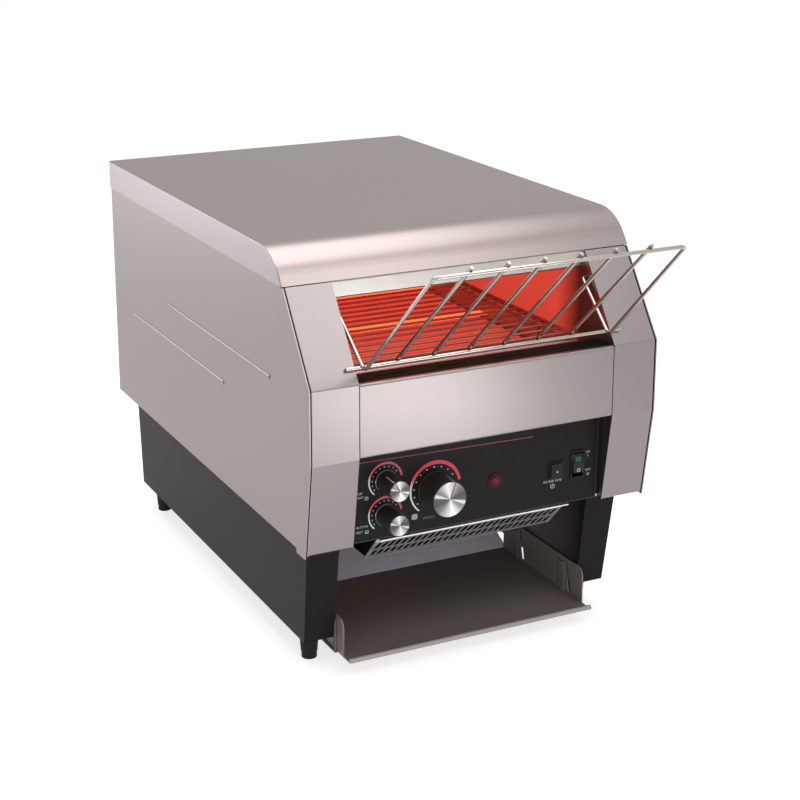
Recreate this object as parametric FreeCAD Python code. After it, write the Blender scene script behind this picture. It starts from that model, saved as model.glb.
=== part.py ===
import FreeCAD, Part
import math
import os

V = FreeCAD.Vector

# Overall body, in millimetres. X points right, Y back, Z up; y = 0 is the front face, z = 0 the counter
cover_width = 369.0
overall_height = 409.5
body_depth = 550.5
foot_height = 28.0

# Sheet metal and clearances
sheet = 1.2
frame_sheet = 1.5
bend_radius = 1.2
fold_radius = 1.6
fit_gap = 0.3
seam_gap = 1.1
running_gap = 0.05
overrun = 1.0

# Front profile: slope, upright face and tucked-under foot, each level as a drop from the top
slope_run = 57.0
slope_top_drop = 30.7
slope_foot_drop = 112.5
face_foot_drop = 183.1
cheek_foot_y = 13.9
cheek_foot_drop = 273.8
cover_curve_radius = 52.0
side_bay_width = 49.85
cheek_top_gap = 0.8
cheek_outer_return = 14.0
cheek_inner_return = 6.0
cheek_foot_return = 10.0

# Side panels
side_foot_drop = 271.4
side_top_margin = 9.5
side_setback = 11.0
side_floor_width = 15.0
tab_drop = 4.6
tab_rear_y = 33.0
bead_width = 4.6
bead_height = 1.0
upper_bead_drop = 123.5
upper_bead_front_y = 89.0
upper_bead_rear_inset = 184.5
lower_bead_drop = 163.5
lower_bead_front_y = 208.0
lower_bead_rear_inset = 70.5

# Front panel, loading ledge and lintel
front_panel_gap = 0.9
front_top_return = 5.0
front_foot_return = 14.0
ledge_depth = 33.0
ledge_drop = 14.0
ledge_neck = 10.0
ledge_slot_length = 32.0
ledge_slot_width = 2.0
ledge_slot_y = 19.0
ledge_slot_margin = 25.65
ledge_slots = 4
lintel_setback = 2.5
lintel_foot_drop = 48.5
lintel_return = 14.0

# Back panel
back_margin = 2.0
louvre_height = 4.0
louvre_pitch = 14.0
louvre_foot_drop = 109.5
louvre_rows = 6
louvre_columns = 3
louvre_gap = 20.0
louvre_margin = 23.9

# Pedestal, its walls lean inwards to the foot
base_sheet = 1.5
base_foot_inset = 17.6
base_foot_front_y = 56.1
base_foot_rear_inset = 26.3
base_side_lean = 2.7
base_front_lean = 16.0
base_rear_lean = 2.5
foot_top_radius = 9.6
foot_step_radius = 8.2
foot_tip_radius = 7.6
foot_step_height = 7.0
foot_sides = 16
foot_side_inset = 15.9
foot_front_inset = 24.5
foot_rear_inset = 26.5

# Inner side frames
frame_front_gap = 2.5
frame_rear_inset = 10.5
frame_crown_y = 112.0
frame_flange = 12.0

# Conveyor belt: wires between side links, round two drums
belt_pitch = 15.875
wrap_links = 10
belt_end_room = 130.0
wire_radius = 1.3
front_shaft_y = 63.0
shaft_drop = 139.5
link_inset = 15.15
link_thickness = 1.6
link_height = 5.2
wire_sides = 6
shaft_radius = 5.0
shaft_end_reach = 12.0
bearing_radius = 8.0
bearing_length = 8.0
bearing_sides = 12
guide_inset = 11.5
guide_height = 11.0
guide_margin = 33.0

# Heating elements and reflectors
element_radius = 4.0
element_sides = 12
element_count = 3
top_element_drop = 25.5
bottom_element_lift = 4.0
first_element_y = 112.0
last_element_inset = 60.25
element_reach = 10.0
holder_depth = 9.0
holder_height = 14.0
holder_margin = 12.0
top_reflector_drop = 15.5
bottom_reflector_depth = 12.0
reflector_lip = 9.0
reflector_front_y = 92.0
reflector_rear_inset = 24.25
deflector_inset = 45.5

# Gear train
gear_module = 2.0
gear_teeth = 33
pinion_teeth = 15
pressure_angle = 20.0
addendum_share = 0.8
dedendum_share = 1.05
flank_points = 3
gear_backlash = 0.25
gear_width = 6.0
gear_hub_radius = 11.0
gear_hub_length = 5.0
gear_stand_off = 9.0
train_angle = -110.0

# Gearmotor and the shelf that carries it
shelf_front_y = 154.0
shelf_rear_reach = 11.75
shelf_lip = 9.0
gearbox_width = 28.0
gearbox_length = 98.0
gearbox_height = 48.0
gearbox_nose = 15.0
stator_width = 40.0
stator_length = 52.0
stator_height = 44.0
coil_radius = 17.0
coil_width = 10.0
coil_sides = 12
motor_shaft_radius = 4.0

# Toast chute
chute_gap = 1.5
chute_turn_inset = 35.0
chute_turn_drop = 259.5
chute_top_drop = 117.5
chute_radius = 55.0

# Discharge tray and its rails
tray_sheet = 1.2
tray_side_gap = 0.95
tray_floor_z = 13.5
tray_lip_y = 25.0
tray_wall_front_y = 39.5
tray_wall_top_z = 51.5
tray_rear_y = 196.0
tray_corner_radius = 9.0
tray_lip_radius = 2.4
tray_slot_width = 5.0
tray_slot_height = 30.0
tray_slot_lean = 7.0
tray_slot_foot_z = 16.5
tray_slot_front_y = 60.0
tray_slot_rear_y = 152.0
tray_hook_bend = 5.0
tray_slit_y = 85.0
tray_slit_width = 2.5
rail_front_y = 54.0
rail_rear_y = 190.0
rail_top_z = 46.0
rail_foot_width = 12.0
rail_window_margin = 4.0

# Wire feed rack
rod_radius = 2.0
rod_sides = 8
rack_foot_inset = 6.35
rack_top_inset = 10.65
rack_foot_y = 1.5
rack_foot_lift = 11.5
rack_top_y = -118.2
rack_top_lift = 123.8
rack_pivot_y = 54.3
rack_pivot_lift = 55.4
rack_arm_inset = 3.65
rack_pin_reach = 6.0
rack_bend = 5.0
rack_foot_bend = 8.0
rack_hook_bend = 4.0
rest_overlap = 10.15
rest_slope_distance = 15.0
rack_wires = 6
wire_lap = 4.0
weld_depth = 0.4

# Control panel and what it carries; u is measured across, v up from the panel foot
panel_sheet = 2.0
panel_foot_y = 20.3
panel_foot_lift = 0.7
panel_top_gap = 2.2
panel_tilt = -1.0
panel_edge_return = 10.0
speed_spacing = 51.6
speed_v = 40.6
heat_inset = 36.75
top_heat_v = 57.6
bottom_heat_v = 23.9
speed_radius = 17.5
heat_radius = 10.3
knob_length = 30.5
knob_gap = 1.5
knob_cap = 2.2
knob_cap_inset = 0.3
knob_sides = 24
stem_radius = 3.0
stem_reach = 12.0
pot_width = 20.0
speed_pot_width = 26.0
pot_length = 16.0
lamp_share = 0.4879
lamp_v = 37.9
lamp_radius = 7.2
lamp_rim = 1.6
lamp_height = 3.4
lamp_body_length = 22.0
save_spacing = 24.3
save_v = 36.5
save_width = 13.0
save_height = 14.4
save_stand = 3.2
rocker_inset = 26.65
rocker_v = 38.8
rocker_width = 12.0
rocker_height = 25.0
rocker_swing = 10.0
rocker_crown = 3.4
rocker_pin_radius = 1.5
rocker_pin_reach = 1.0
switch_rim = 1.6
switch_bezel = 1.4
switch_body_length = 20.0
button_gap = 0.3
corner_radius = 2.0

# Control housing, slotted guard and cooling fan
housing_side_inset = 32.25
housing_front_y = 29.2
housing_lip_drop = 275.7
housing_foot_y = 57.1
housing_foot_drop = 305.2
housing_rear_y = 152.0
housing_top_gap = 2.4
housing_set_y = 62.0
housing_step_drop = 263.5
fan_vent_radius = 34.0
guard_sheet = 1.2
guard_flange = 7.0
guard_overhang = 3.4
guard_band = 11.0
guard_border = 1.4
slot_columns = 28
slot_rows = 2
slot_strand = 1.2
slot_lean = 3.0
fan_size = 80.0
fan_depth = 25.0
fan_bore = 37.5
fan_bore_sides = 24
fan_wall = 3.0
fan_inset = 62.4
fan_hub_radius = 14.0
fan_hub_sides = 12
fan_struts = 4
fan_strut_width = 4.0
blade_count = 5
blade_thickness = 1.4
blade_pitch = 35.0
blade_tip_gap = 1.5
rotor_pin_radius = 2.0

# Electrical pieces
terminal_length = 60.0
terminal_width = 22.0
terminal_height = 18.0
terminal_ways = 5
terminal_drop = 239.5
terminal_inset = 80.5
terminal_groove = 3.0
gland_inset = 63.3
gland_drop = 237.5
gland_bore = 5.0
gland_thread_radius = 9.0
gland_sides = 16
gland_nut_radius = 13.0
gland_nut = 6.0
gland_neck = 14.0
gland_wall = 2.5

# Sizes that follow from those above
slope_top_z = overall_height - slope_top_drop
slope_foot_z = overall_height - slope_foot_drop
face_foot_z = overall_height - face_foot_drop
cheek_foot_z = overall_height - cheek_foot_drop
side_foot_z = overall_height - side_foot_drop
shaft_z = overall_height - shaft_drop
opening_width = cover_width - side_bay_width * 2
half_cover = cover_width / 2
half_side = half_cover - sheet
half_opening = opening_width / 2
half_frame = half_opening + sheet
half_cheek = half_side - sheet - seam_gap
half_body = half_frame + frame_sheet
cover_inner_z = overall_height - sheet
base_height = side_foot_z - foot_height
base_foot_half = half_cover - base_foot_inset
base_foot_rear_y = body_depth - base_foot_rear_inset
frame_rear_y = body_depth - frame_rear_inset
lintel_y = slope_run + lintel_setback
lintel_foot_z = overall_height - lintel_foot_drop
drum_angle = math.pi / wrap_links
belt_radius = belt_pitch / (2 * math.sin(drum_angle))
straight_links = int((body_depth - front_shaft_y - belt_end_room) / belt_pitch)
rear_shaft_y = front_shaft_y + straight_links * belt_pitch
link_x = half_opening - link_inset
guide_x = link_x - guide_inset
drum_radius = belt_radius - wire_radius - fit_gap
belt_underside = shaft_z + belt_radius - wire_radius
gear_distance = gear_module * (gear_teeth + pinion_teeth) / 2
motor_y = rear_shaft_y + gear_distance * math.cos(math.radians(train_angle))
motor_z = shaft_z + gear_distance * math.sin(math.radians(train_angle))
gearbox_foot_z = motor_z + gearbox_nose - gearbox_height
gear_x = half_body + gear_stand_off
top_element_z = overall_height - top_element_drop
bottom_element_z = shaft_z + bottom_element_lift
element_pitch = (rear_shaft_y - last_element_inset - first_element_y) / (element_count - 1)
top_reflector_z = overall_height - top_reflector_drop
bottom_reflector_z = shaft_z - bottom_reflector_depth
reflector_rear_y = rear_shaft_y - reflector_rear_inset
deflector_y = body_depth - deflector_inset
shelf_rear_y = rear_shaft_y + shelf_rear_reach
chute_top_z = overall_height - chute_top_drop
tray_width = opening_width - tray_side_gap * 2
rack_half_foot = half_opening - rack_foot_inset
rack_half_top = half_opening - rack_top_inset
rack_arm_x = half_opening - rack_arm_inset
rack_foot_z = slope_foot_z + rack_foot_lift
rack_top_z = slope_foot_z + rack_top_lift
rack_pivot_z = slope_foot_z + rack_pivot_lift
rest_half_length = half_opening + rest_overlap
panel_foot_z = cheek_foot_z + panel_foot_lift
panel_height = face_foot_z - panel_top_gap - panel_foot_z
heat_u = heat_inset - half_frame
speed_u = heat_u + speed_spacing
rocker_u = half_frame - rocker_inset
save_u = rocker_u - save_spacing
lamp_u = speed_u + (save_u - speed_u) * lamp_share
housing_half_width = half_opening - housing_side_inset
housing_lip_z = overall_height - housing_lip_drop
housing_foot_z = overall_height - housing_foot_drop
housing_top_z = face_foot_z - housing_top_gap
housing_step_z = overall_height - housing_step_drop
fan_u = housing_half_width - fan_inset
fan_z = (housing_foot_z + housing_top_z) / 2
fan_front_y = housing_rear_y - sheet - fan_depth
terminal_y = body_depth - terminal_inset
terminal_z = overall_height - terminal_drop
gland_x = gland_inset - half_side
gland_z = overall_height - gland_drop
slope_angle = math.atan2(slope_top_z - slope_foot_z, slope_run)
rack_reach = rod_radius - rack_top_y
gland_reach = gland_nut + gland_neck
front_plane_y = (rack_reach - body_depth - gland_reach) / 2


def on_yz(x):
    """Maps (y, z) to the upright plane at x."""
    return lambda a, b: V(x, a, b)


def on_xz(y):
    """Maps (x, z) to the upright plane at y."""
    return lambda a, b: V(a, y, b)


def on_xy(z):
    """Maps (x, y) to the level plane at z."""
    return lambda a, b: V(a, b, z)


def unit(start, end):
    """The direction from one point to another."""
    length = math.hypot(end[0] - start[0], end[1] - start[1])
    return ((end[0] - start[0]) / length, (end[1] - start[1]) / length)


def offset_line(points, distance):
    """An open line moved to its left by a distance, with mitred corners."""
    moved = []
    for index, point in enumerate(points):
        turns = []
        if index > 0:
            turns.append(unit(points[index - 1], point))
        if index < len(points) - 1:
            turns.append(unit(point, points[index + 1]))
        normals = [(-turn[1], turn[0]) for turn in turns]
        across = sum(normal[0] for normal in normals)
        along = sum(normal[1] for normal in normals)
        square = across * across + along * along
        scale = distance * len(normals) / square
        moved.append((point[0] + across * scale, point[1] + along * scale))
    return moved


def corner_curve(before, corner, after, radius):
    """The start, middle and end of the arc that rounds a corner."""
    d_in = unit(before, corner)
    d_out = unit(corner, after)
    cosine = max(-1.0, min(1.0, d_in[0] * d_out[0] + d_in[1] * d_out[1]))
    turn = math.acos(cosine)
    reach = radius * math.tan(turn / 2)
    bulge = radius * (1 / math.cos(turn / 2) - 1)
    side = (d_out[0] - d_in[0], d_out[1] - d_in[1])
    size = math.hypot(side[0], side[1])
    start = (corner[0] - d_in[0] * reach, corner[1] - d_in[1] * reach)
    middle = (corner[0] + side[0] / size * bulge, corner[1] + side[1] / size * bulge)
    end = (corner[0] + d_out[0] * reach, corner[1] + d_out[1] * reach)
    return start, middle, end


def outline(corners, radii, place):
    """A closed flat wire through corners, each rounded by its own radius."""
    edges = []
    count = len(corners)
    pieces = []
    for index, corner in enumerate(corners):
        radius = radii[index]
        if radius > 0:
            pieces.append(corner_curve(corners[index - 1], corner, corners[(index + 1) % count], radius))
        else:
            pieces.append((corner, None, corner))
    for index, piece in enumerate(pieces):
        start, middle, end = piece
        if middle:
            arc = Part.Arc(place(*start), place(*middle), place(*end))
            edges.append(arc.toShape())
        following = pieces[(index + 1) % count][0]
        if math.hypot(following[0] - end[0], following[1] - end[1]) > fit_gap / 100:
            edges.append(Part.LineSegment(place(*end), place(*following)).toShape())
    return Part.Wire(edges)


def prism(corners, radii, place, travel):
    """A solid with a flat outline, drawn out along a vector."""
    if not isinstance(radii, (list, tuple)):
        radii = [radii] * len(corners)
    return Part.Face(outline(corners, radii, place)).extrude(travel)


def box(low_x, high_x, low_y, high_y, low_z, high_z):
    """A box between two corners."""
    return Part.makeBox(high_x - low_x, high_y - low_y, high_z - low_z, V(low_x, low_y, low_z))


def rod_x(x_low, x_high, y, z, radius):
    """A round bar along X."""
    return Part.makeCylinder(radius, x_high - x_low, V(x_low, y, z), V(1, 0, 0))


def round_line(a, b, radius, sides):
    """The corners of a many-sided round outline about a middle, a flat towards each axis."""
    corners = []
    for index in range(sides):
        turn = 2 * math.pi * (index + 1 / 2) / sides
        corners.append((a + radius * math.cos(turn), b + radius * math.sin(turn)))
    return corners


def bent_sheet(points, thickness, x_low, x_high, bend=bend_radius):
    """A sheet along an open (y, z) line, thickened to its left, with round bends."""
    inner = offset_line(points, thickness)
    near = [0] * len(points)
    far = [0] * len(points)
    for index in range(1, len(points) - 1):
        d_in = unit(points[index - 1], points[index])
        d_out = unit(points[index], points[index + 1])
        turning_left = d_in[0] * d_out[1] - d_in[1] * d_out[0] > 0
        near[index] = bend + thickness if turning_left else bend
        far[index] = bend if turning_left else bend + thickness
    corners = points + inner[::-1]
    return prism(corners, near + far[::-1], on_yz(x_low), V(x_high - x_low, 0, 0))


def both_sides(shape):
    """A shape and its mirror image across the middle."""
    return shape, mirrored(shape)


def mirrored(shape):
    """The mirror image of a shape across the middle."""
    return shape.mirror(V(0, 0, 0), V(1, 0, 0))


def front_line(depth):
    """The front profile from the feed slope down to the cheek foot, moved inwards."""
    points = [
        (slope_run, slope_top_z),
        (0, slope_foot_z),
        (0, face_foot_z),
        (cheek_foot_y, cheek_foot_z),
    ]
    return offset_line(points, depth)


def slope_point(distance, lift):
    """A point up the feed slope, lifted square off its face."""
    along = (math.cos(slope_angle), math.sin(slope_angle))
    return (along[0] * distance - along[1] * lift, slope_foot_z + along[1] * distance + along[0] * lift)


def save(node, shape):
    """Writes one sub-part, with the whole object's middle at the origin."""
    placed = shape.copy()
    placed.translate(V(0, front_plane_y, 0))
    placed.exportStep("parts/" + node + ".step")


def cover_outline(inset, foot):
    """The cover's side profile, moved inwards, down to a foot level."""
    crown_y = slope_run + (overall_height - slope_top_z) / math.tan(slope_angle)
    points = [(slope_run, slope_top_z), (crown_y, overall_height), (body_depth, overall_height)]
    points = points + [(body_depth, slope_top_z)]
    inner = offset_line(points, -inset)
    inner[0] = (inner[0][0] + (foot - inner[0][1]) / math.tan(slope_angle), foot)
    inner[-1] = (inner[-1][0], foot)
    return inner


def top_cover():
    """One sheet folded over the top, with a curved front and a flange all round."""
    outer_radii = [0, cover_curve_radius, fold_radius, 0]
    inner_radii = [0, cover_curve_radius - sheet, fold_radius / 2, 0]
    outer = prism(cover_outline(0, slope_top_z), outer_radii, on_yz(-half_cover), V(cover_width, 0, 0))
    edges = [edge for edge in outer.Edges if side_edge(edge)]
    outer = outer.makeFillet(fold_radius, edges)
    hollow = prism(
        cover_outline(sheet, slope_top_z - overrun),
        inner_radii,
        on_yz(sheet - half_cover),
        V(cover_width - sheet * 2, 0, 0),
    )
    return outer.cut(hollow)


def side_edge(edge):
    """True for an edge of the cover that lies in one side and isn't its foot."""
    bounds = edge.BoundBox
    flat = bounds.XLength < fit_gap and abs(abs(bounds.XMin) - half_cover) < fit_gap
    return flat and bounds.ZMax > slope_top_z + fit_gap


def bead(z, y_front, y_rear):
    """A raised half-round rib along a side panel."""
    rise = Part.Arc(
        V(half_side, y_front, z - bead_width / 2),
        V(half_side + bead_height, y_front, z),
        V(half_side, y_front, z + bead_width / 2),
    ).toShape()
    foot = Part.LineSegment(
        V(half_side, y_front, z + bead_width / 2),
        V(half_side, y_front, z - bead_width / 2),
    ).toShape()
    return Part.Face(Part.Wire([rise, foot])).extrude(V(0, y_rear - y_front, 0))


def side_panel():
    """The right side panel: plate, floor flange, front tab and two raised beads."""
    front = front_line(0)
    tab_z = side_foot_z - tab_drop
    share = (tab_z - front[3][1]) / (front[2][1] - front[3][1])
    tab_y = front[3][0] + (front[2][0] - front[3][0]) * share
    top = slope_point((slope_top_z - slope_foot_z - seam_gap) / math.sin(slope_angle), 0)
    crown_z = overall_height - side_top_margin
    corners = [
        top,
        front[1],
        front[2],
        (tab_y, tab_z),
        (tab_rear_y, tab_z),
        (tab_rear_y, side_foot_z),
        (body_depth - sheet, side_foot_z),
        (body_depth - sheet, crown_z),
        (slope_run + cover_curve_radius, crown_z),
        (slope_run + side_setback, top[1]),
    ]
    radii = [0, bend_radius, bend_radius, 0, 0, 0, 0, 0, 0, 0]
    plate = prism(corners, radii, on_yz(half_side - sheet), V(sheet, 0, 0))
    floor = box(
        half_side - side_floor_width,
        half_side,
        tab_rear_y,
        body_depth - sheet,
        side_foot_z,
        side_foot_z + sheet,
    )
    panel = plate.fuse(floor)
    upper_rear_y = body_depth - upper_bead_rear_inset
    lower_rear_y = body_depth - lower_bead_rear_inset
    panel = panel.fuse(bead(overall_height - upper_bead_drop, upper_bead_front_y, upper_rear_y))
    panel = panel.fuse(bead(overall_height - lower_bead_drop, lower_bead_front_y, lower_rear_y))
    return panel.removeSplitter()


def cheek():
    """The right cheek: a sheet bent along the front profile, with folded edges."""
    front = front_line(0)
    top = slope_point((slope_top_z - slope_foot_z - cheek_top_gap) / math.sin(slope_angle), 0)
    line = [top, front[1], front[2], front[3], (front[3][0] + cheek_foot_return, front[3][1])]
    face = bent_sheet(line, sheet, half_opening, half_cheek)
    outer = cheek_return(line, cheek_outer_return, half_cheek - sheet)
    inner = cheek_return(line, cheek_inner_return, half_opening)
    shape = face.fuse(outer).fuse(inner).removeSplitter()
    edges = [edge for edge in shape.Edges if cheek_edge(edge)]
    return shape.makeFillet(fold_radius / 2, edges)


def cheek_return(line, depth, x_low):
    """An edge of the cheek folded back square to its face."""
    outer = line[:4]
    inner = offset_line(outer, depth)
    radii = [0, bend_radius + sheet, bend_radius + sheet, 0, 0, 0, 0, 0]
    return prism(outer + inner[::-1], radii, on_yz(x_low), V(sheet, 0, 0))


def cheek_edge(edge):
    """True for the long outer fold of the cheek."""
    bounds = edge.BoundBox
    if bounds.XLength > fit_gap or abs(bounds.XMin - half_cheek) > fit_gap:
        return False
    middle = edge.valueAt((edge.FirstParameter + edge.LastParameter) / 2)
    return front_depth(middle.y, middle.z) < sheet / 2 and edge.Length > fit_gap


def front_depth(y, z):
    """How far a point lies behind the front profile."""
    line = front_line(0)
    gaps = []
    for start, end in zip(line, line[1:]):
        ahead = unit(start, end)
        along = (y - start[0]) * ahead[0] + (z - start[1]) * ahead[1]
        along = max(0, min(math.hypot(end[0] - start[0], end[1] - start[1]), along))
        gaps.append(math.hypot(y - start[0] - ahead[0] * along, z - start[1] - ahead[1] * along))
    return min(gaps)


def front_panel():
    """The plain panel between the cheeks, folded back at its top and foot."""
    half = half_opening - front_panel_gap
    line = [
        (front_top_return, slope_foot_z),
        (0, slope_foot_z),
        (0, face_foot_z),
        (front_foot_return, face_foot_z),
    ]
    return bent_sheet(line, sheet, -half, half)


def loading_ledge():
    """The black ledge that leads slices from the rack to the belt."""
    top = slope_foot_z - sheet
    half = half_opening - fit_gap
    neck = box(-half, half, sheet + bend_radius, ledge_neck + overrun, top - sheet, top)
    line = [(ledge_neck, top), (ledge_depth, top), (ledge_depth, top - ledge_drop)]
    wide = bent_sheet(line, -sheet, -half_frame, half_frame)
    shape = neck.fuse(wide).removeSplitter()
    reach = half_opening - ledge_slot_margin - ledge_slot_length / 2
    for index in range(ledge_slots):
        middle = reach * (2 * index / (ledge_slots - 1) - 1)
        shape = shape.cut(
            box(
                middle - ledge_slot_length / 2,
                middle + ledge_slot_length / 2,
                ledge_slot_y,
                ledge_slot_y + ledge_slot_width,
                top - sheet - overrun,
                top + overrun,
            )
        )
    return shape


def feed_lintel():
    """The bright strip above the feed opening, with end tabs on the frames."""
    line = [
        (lintel_y + lintel_return, slope_top_z),
        (lintel_y, slope_top_z),
        (lintel_y, lintel_foot_z),
        (lintel_y + lintel_return, lintel_foot_z),
    ]
    return bent_sheet(line, sheet, -half_frame, half_frame)


def back_panel():
    """The rear panel with rows of vent slots and the cord's hole."""
    y_high = body_depth - sheet
    half = half_side - sheet - fit_gap
    panel = box(-half, half, y_high - sheet, y_high, side_foot_z + sheet, cover_inner_z - back_margin)
    room = (half - louvre_margin) * 2
    louvre_length = (room - louvre_gap * (louvre_columns - 1)) / louvre_columns
    for column in range(louvre_columns):
        middle = (column - (louvre_columns - 1) / 2) * (louvre_length + louvre_gap)
        for row in range(louvre_rows):
            z = overall_height - louvre_foot_drop + louvre_pitch * row
            corners = [
                (middle - louvre_length / 2, z),
                (middle + louvre_length / 2, z),
                (middle + louvre_length / 2, z + louvre_height),
                (middle - louvre_length / 2, z + louvre_height),
            ]
            slot = prism(corners, 0, on_xz(y_high - sheet - overrun), V(0, sheet + overrun * 2, 0))
            panel = panel.cut(slot)
    hole = prism(gland_line(), 0, on_xz(y_high - sheet - overrun), V(0, sheet + overrun * 2, 0))
    return panel.cut(hole)


def tapered_block(inset, foot_z, top_z):
    """The right pedestal's leaning block, drawn in by a wall."""
    ends = []
    for z in (foot_z, top_z):
        share = (z - foot_height) / base_height
        low_y = base_foot_front_y - base_front_lean * share + inset
        high_y = base_foot_rear_y + base_rear_lean * share - inset
        high_x = base_foot_half + base_side_lean * share - inset
        ends.append((low_y, high_y, high_x))
    foot, top = ends
    low_x = half_frame + inset
    wedge = Part.makeWedge(
        low_x, foot_z, -foot[1], -top[1], low_x, foot[2], top_z, -foot[0], -top[0], top[2]
    )
    return wedge.rotated(V(0, 0, 0), V(1, 0, 0), 90)


def base():
    """The right pedestal: a hollow box that leans in to its foot, open on top."""
    outer = tapered_block(0, foot_height, side_foot_z)
    inner = tapered_block(base_sheet, foot_height + base_sheet, side_foot_z + overrun)
    return outer.cut(inner)


def rear_base_panel():
    """The leaning panel that joins the two pedestals at the back."""
    line = [(base_foot_rear_y, foot_height), (base_foot_rear_y + base_rear_lean, side_foot_z)]
    return bent_sheet(line, base_sheet, -half_frame, half_frame)


def rubber_feet():
    """Four stepped feet under the pedestals."""
    levels = [
        (0, foot_tip_radius),
        (foot_step_height, foot_tip_radius),
        (foot_step_height, foot_step_radius),
        (foot_height, foot_top_radius),
    ]
    rings = []
    for z, radius in levels:
        corners = round_line(0, 0, radius, foot_sides)
        rings.append(outline(corners, [0] * foot_sides, on_xy(z)))
    tip = Part.makeLoft(rings[:2], True, True)
    cone = Part.makeLoft(rings[2:], True, True)
    foot = tip.fuse(cone).removeSplitter()
    feet = []
    for side in (-1, 1):
        for y in (base_foot_front_y + foot_front_inset, base_foot_rear_y - foot_rear_inset):
            copy = foot.copy()
            copy.translate(V(side * (base_foot_half - foot_side_inset), y, 0))
            feet.append(copy)
    return Part.makeCompound(feet)


def side_frame():
    """The right inner frame: it carries shafts, elements, rack, shelf and cover."""
    front = front_line(frame_front_gap)
    share = (side_foot_z - front[3][1]) / (front[2][1] - front[3][1])
    foot_y = front[3][0] + (front[2][0] - front[3][0]) * share
    corners = [
        front[0],
        front[1],
        front[2],
        (foot_y, side_foot_z),
        (frame_rear_y, side_foot_z),
        (frame_rear_y, cover_inner_z),
        (frame_crown_y, cover_inner_z),
    ]
    plate = prism(corners, 0, on_yz(half_frame), V(frame_sheet, 0, 0))
    flange = box(
        half_frame,
        half_frame + frame_flange,
        frame_crown_y,
        frame_rear_y,
        cover_inner_z - frame_sheet,
        cover_inner_z,
    )
    shape = plate.fuse(flange).removeSplitter()
    for y in (front_shaft_y, rear_shaft_y):
        shape = shape.cut(bush(y, half_frame - overrun, half_body + overrun))
    for z in (top_element_z, bottom_element_z):
        shape = shape.cut(holder_block(z, half_frame - overrun, half_body + overrun))
    pivot = rod_x(
        half_frame - overrun, half_body + overrun, rack_pivot_y, rack_pivot_z, rod_radius + running_gap
    )
    return shape.cut(pivot)


def right_side_frame():
    """The right frame also lets the motor shaft through."""
    hole = rod_x(
        half_frame - overrun, half_body + overrun, motor_y, motor_z, motor_shaft_radius + running_gap
    )
    return side_frame().cut(hole)


def element_rows():
    """The places of the heating tubes along the belt."""
    return [first_element_y + element_pitch * index for index in range(element_count)]


def tube(y, z, reach):
    """A heating tube, or its bore, as a many-sided bar across the belt."""
    return prism(round_line(y, z, element_radius, element_sides), 0, on_yz(-reach), V(reach * 2, 0, 0))


def holder_block(z, x_low, x_high):
    """The bar that a row of heating tubes sits in."""
    rows = element_rows()
    return box(
        x_low,
        x_high,
        rows[0] - holder_margin,
        rows[-1] + holder_margin,
        z - holder_height / 2,
        z + holder_height / 2,
    )


def element_holders():
    """Four ceramic bars through the side frames, bored for the tubes."""
    bars = []
    for z in (top_element_z, bottom_element_z):
        bar = holder_block(z, half_frame, half_frame + holder_depth)
        for y in element_rows():
            bar = bar.cut(tube(y, z, half_cover))
        bars.extend(both_sides(bar))
    return Part.makeCompound(bars)


def heating_tubes(z):
    """A row of sheathed heating tubes across the belt."""
    reach = half_frame + element_reach
    return Part.makeCompound([tube(y, z, reach) for y in element_rows()])


def top_reflector():
    """The bright ceiling of the toasting space."""
    line = [
        (lintel_y + lintel_return + reflector_lip, top_reflector_z - reflector_lip),
        (lintel_y + lintel_return + reflector_lip, top_reflector_z),
        (deflector_y, top_reflector_z),
    ]
    return bent_sheet(line, -sheet, -half_frame, half_frame)


def bottom_reflector():
    """The tray of bright sheet under the lower heating tubes."""
    line = [
        (reflector_front_y, bottom_reflector_z + reflector_lip),
        (reflector_front_y, bottom_reflector_z),
        (reflector_rear_y, bottom_reflector_z),
        (reflector_rear_y, bottom_reflector_z + reflector_lip),
    ]
    return bent_sheet(line, sheet, -half_frame, half_frame)


def rear_deflector():
    """The back wall of the toasting space, folded forward at its top."""
    line = [
        (deflector_y, chute_top_z),
        (deflector_y, top_reflector_z - sheet),
        (deflector_y - reflector_lip, top_reflector_z - sheet),
    ]
    return bent_sheet(line, sheet, -half_frame, half_frame)


def toast_chute():
    """The slide that turns falling slices forward, down to the tray."""
    turn_z = overall_height - chute_turn_drop
    line = [
        (tray_rear_y + chute_gap, tray_floor_z),
        (deflector_y - chute_turn_inset, turn_z),
        (deflector_y, turn_z + chute_radius),
        (deflector_y, chute_top_z),
    ]
    slide = bent_sheet(line, sheet, -half_frame, half_frame, chute_radius)
    return slide


def belt_path(share):
    """A point of the belt's middle line, and its direction, at a share of its length."""
    straight = straight_links * belt_pitch
    wrap = wrap_links / 2 * belt_pitch
    distance = share * (straight + wrap) * 2
    if distance < straight:
        return (front_shaft_y + distance, shaft_z + belt_radius), 0
    if distance < straight + wrap:
        turn = math.pi * (distance - straight) / wrap
        return (rear_shaft_y + belt_radius * math.sin(turn), shaft_z + belt_radius * math.cos(turn)), -turn
    if distance < straight * 2 + wrap:
        return (rear_shaft_y - (distance - straight - wrap), shaft_z - belt_radius), math.pi
    turn = math.pi * (distance - straight * 2 - wrap) / wrap
    return (front_shaft_y - belt_radius * math.sin(turn), shaft_z - belt_radius * math.cos(turn)), math.pi - turn


def link_ring(side, links):
    """The outer or inner edge of a side chain, a corner at every wire round the drums."""
    points = []
    for index in range(links):
        if 0 < index % (links // 2) < straight_links:
            continue
        (y, z), turn = belt_path(index / links)
        lift = side * link_height / 2
        points.append((y - math.sin(turn) * lift, z + math.cos(turn) * lift))
    return points


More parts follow.
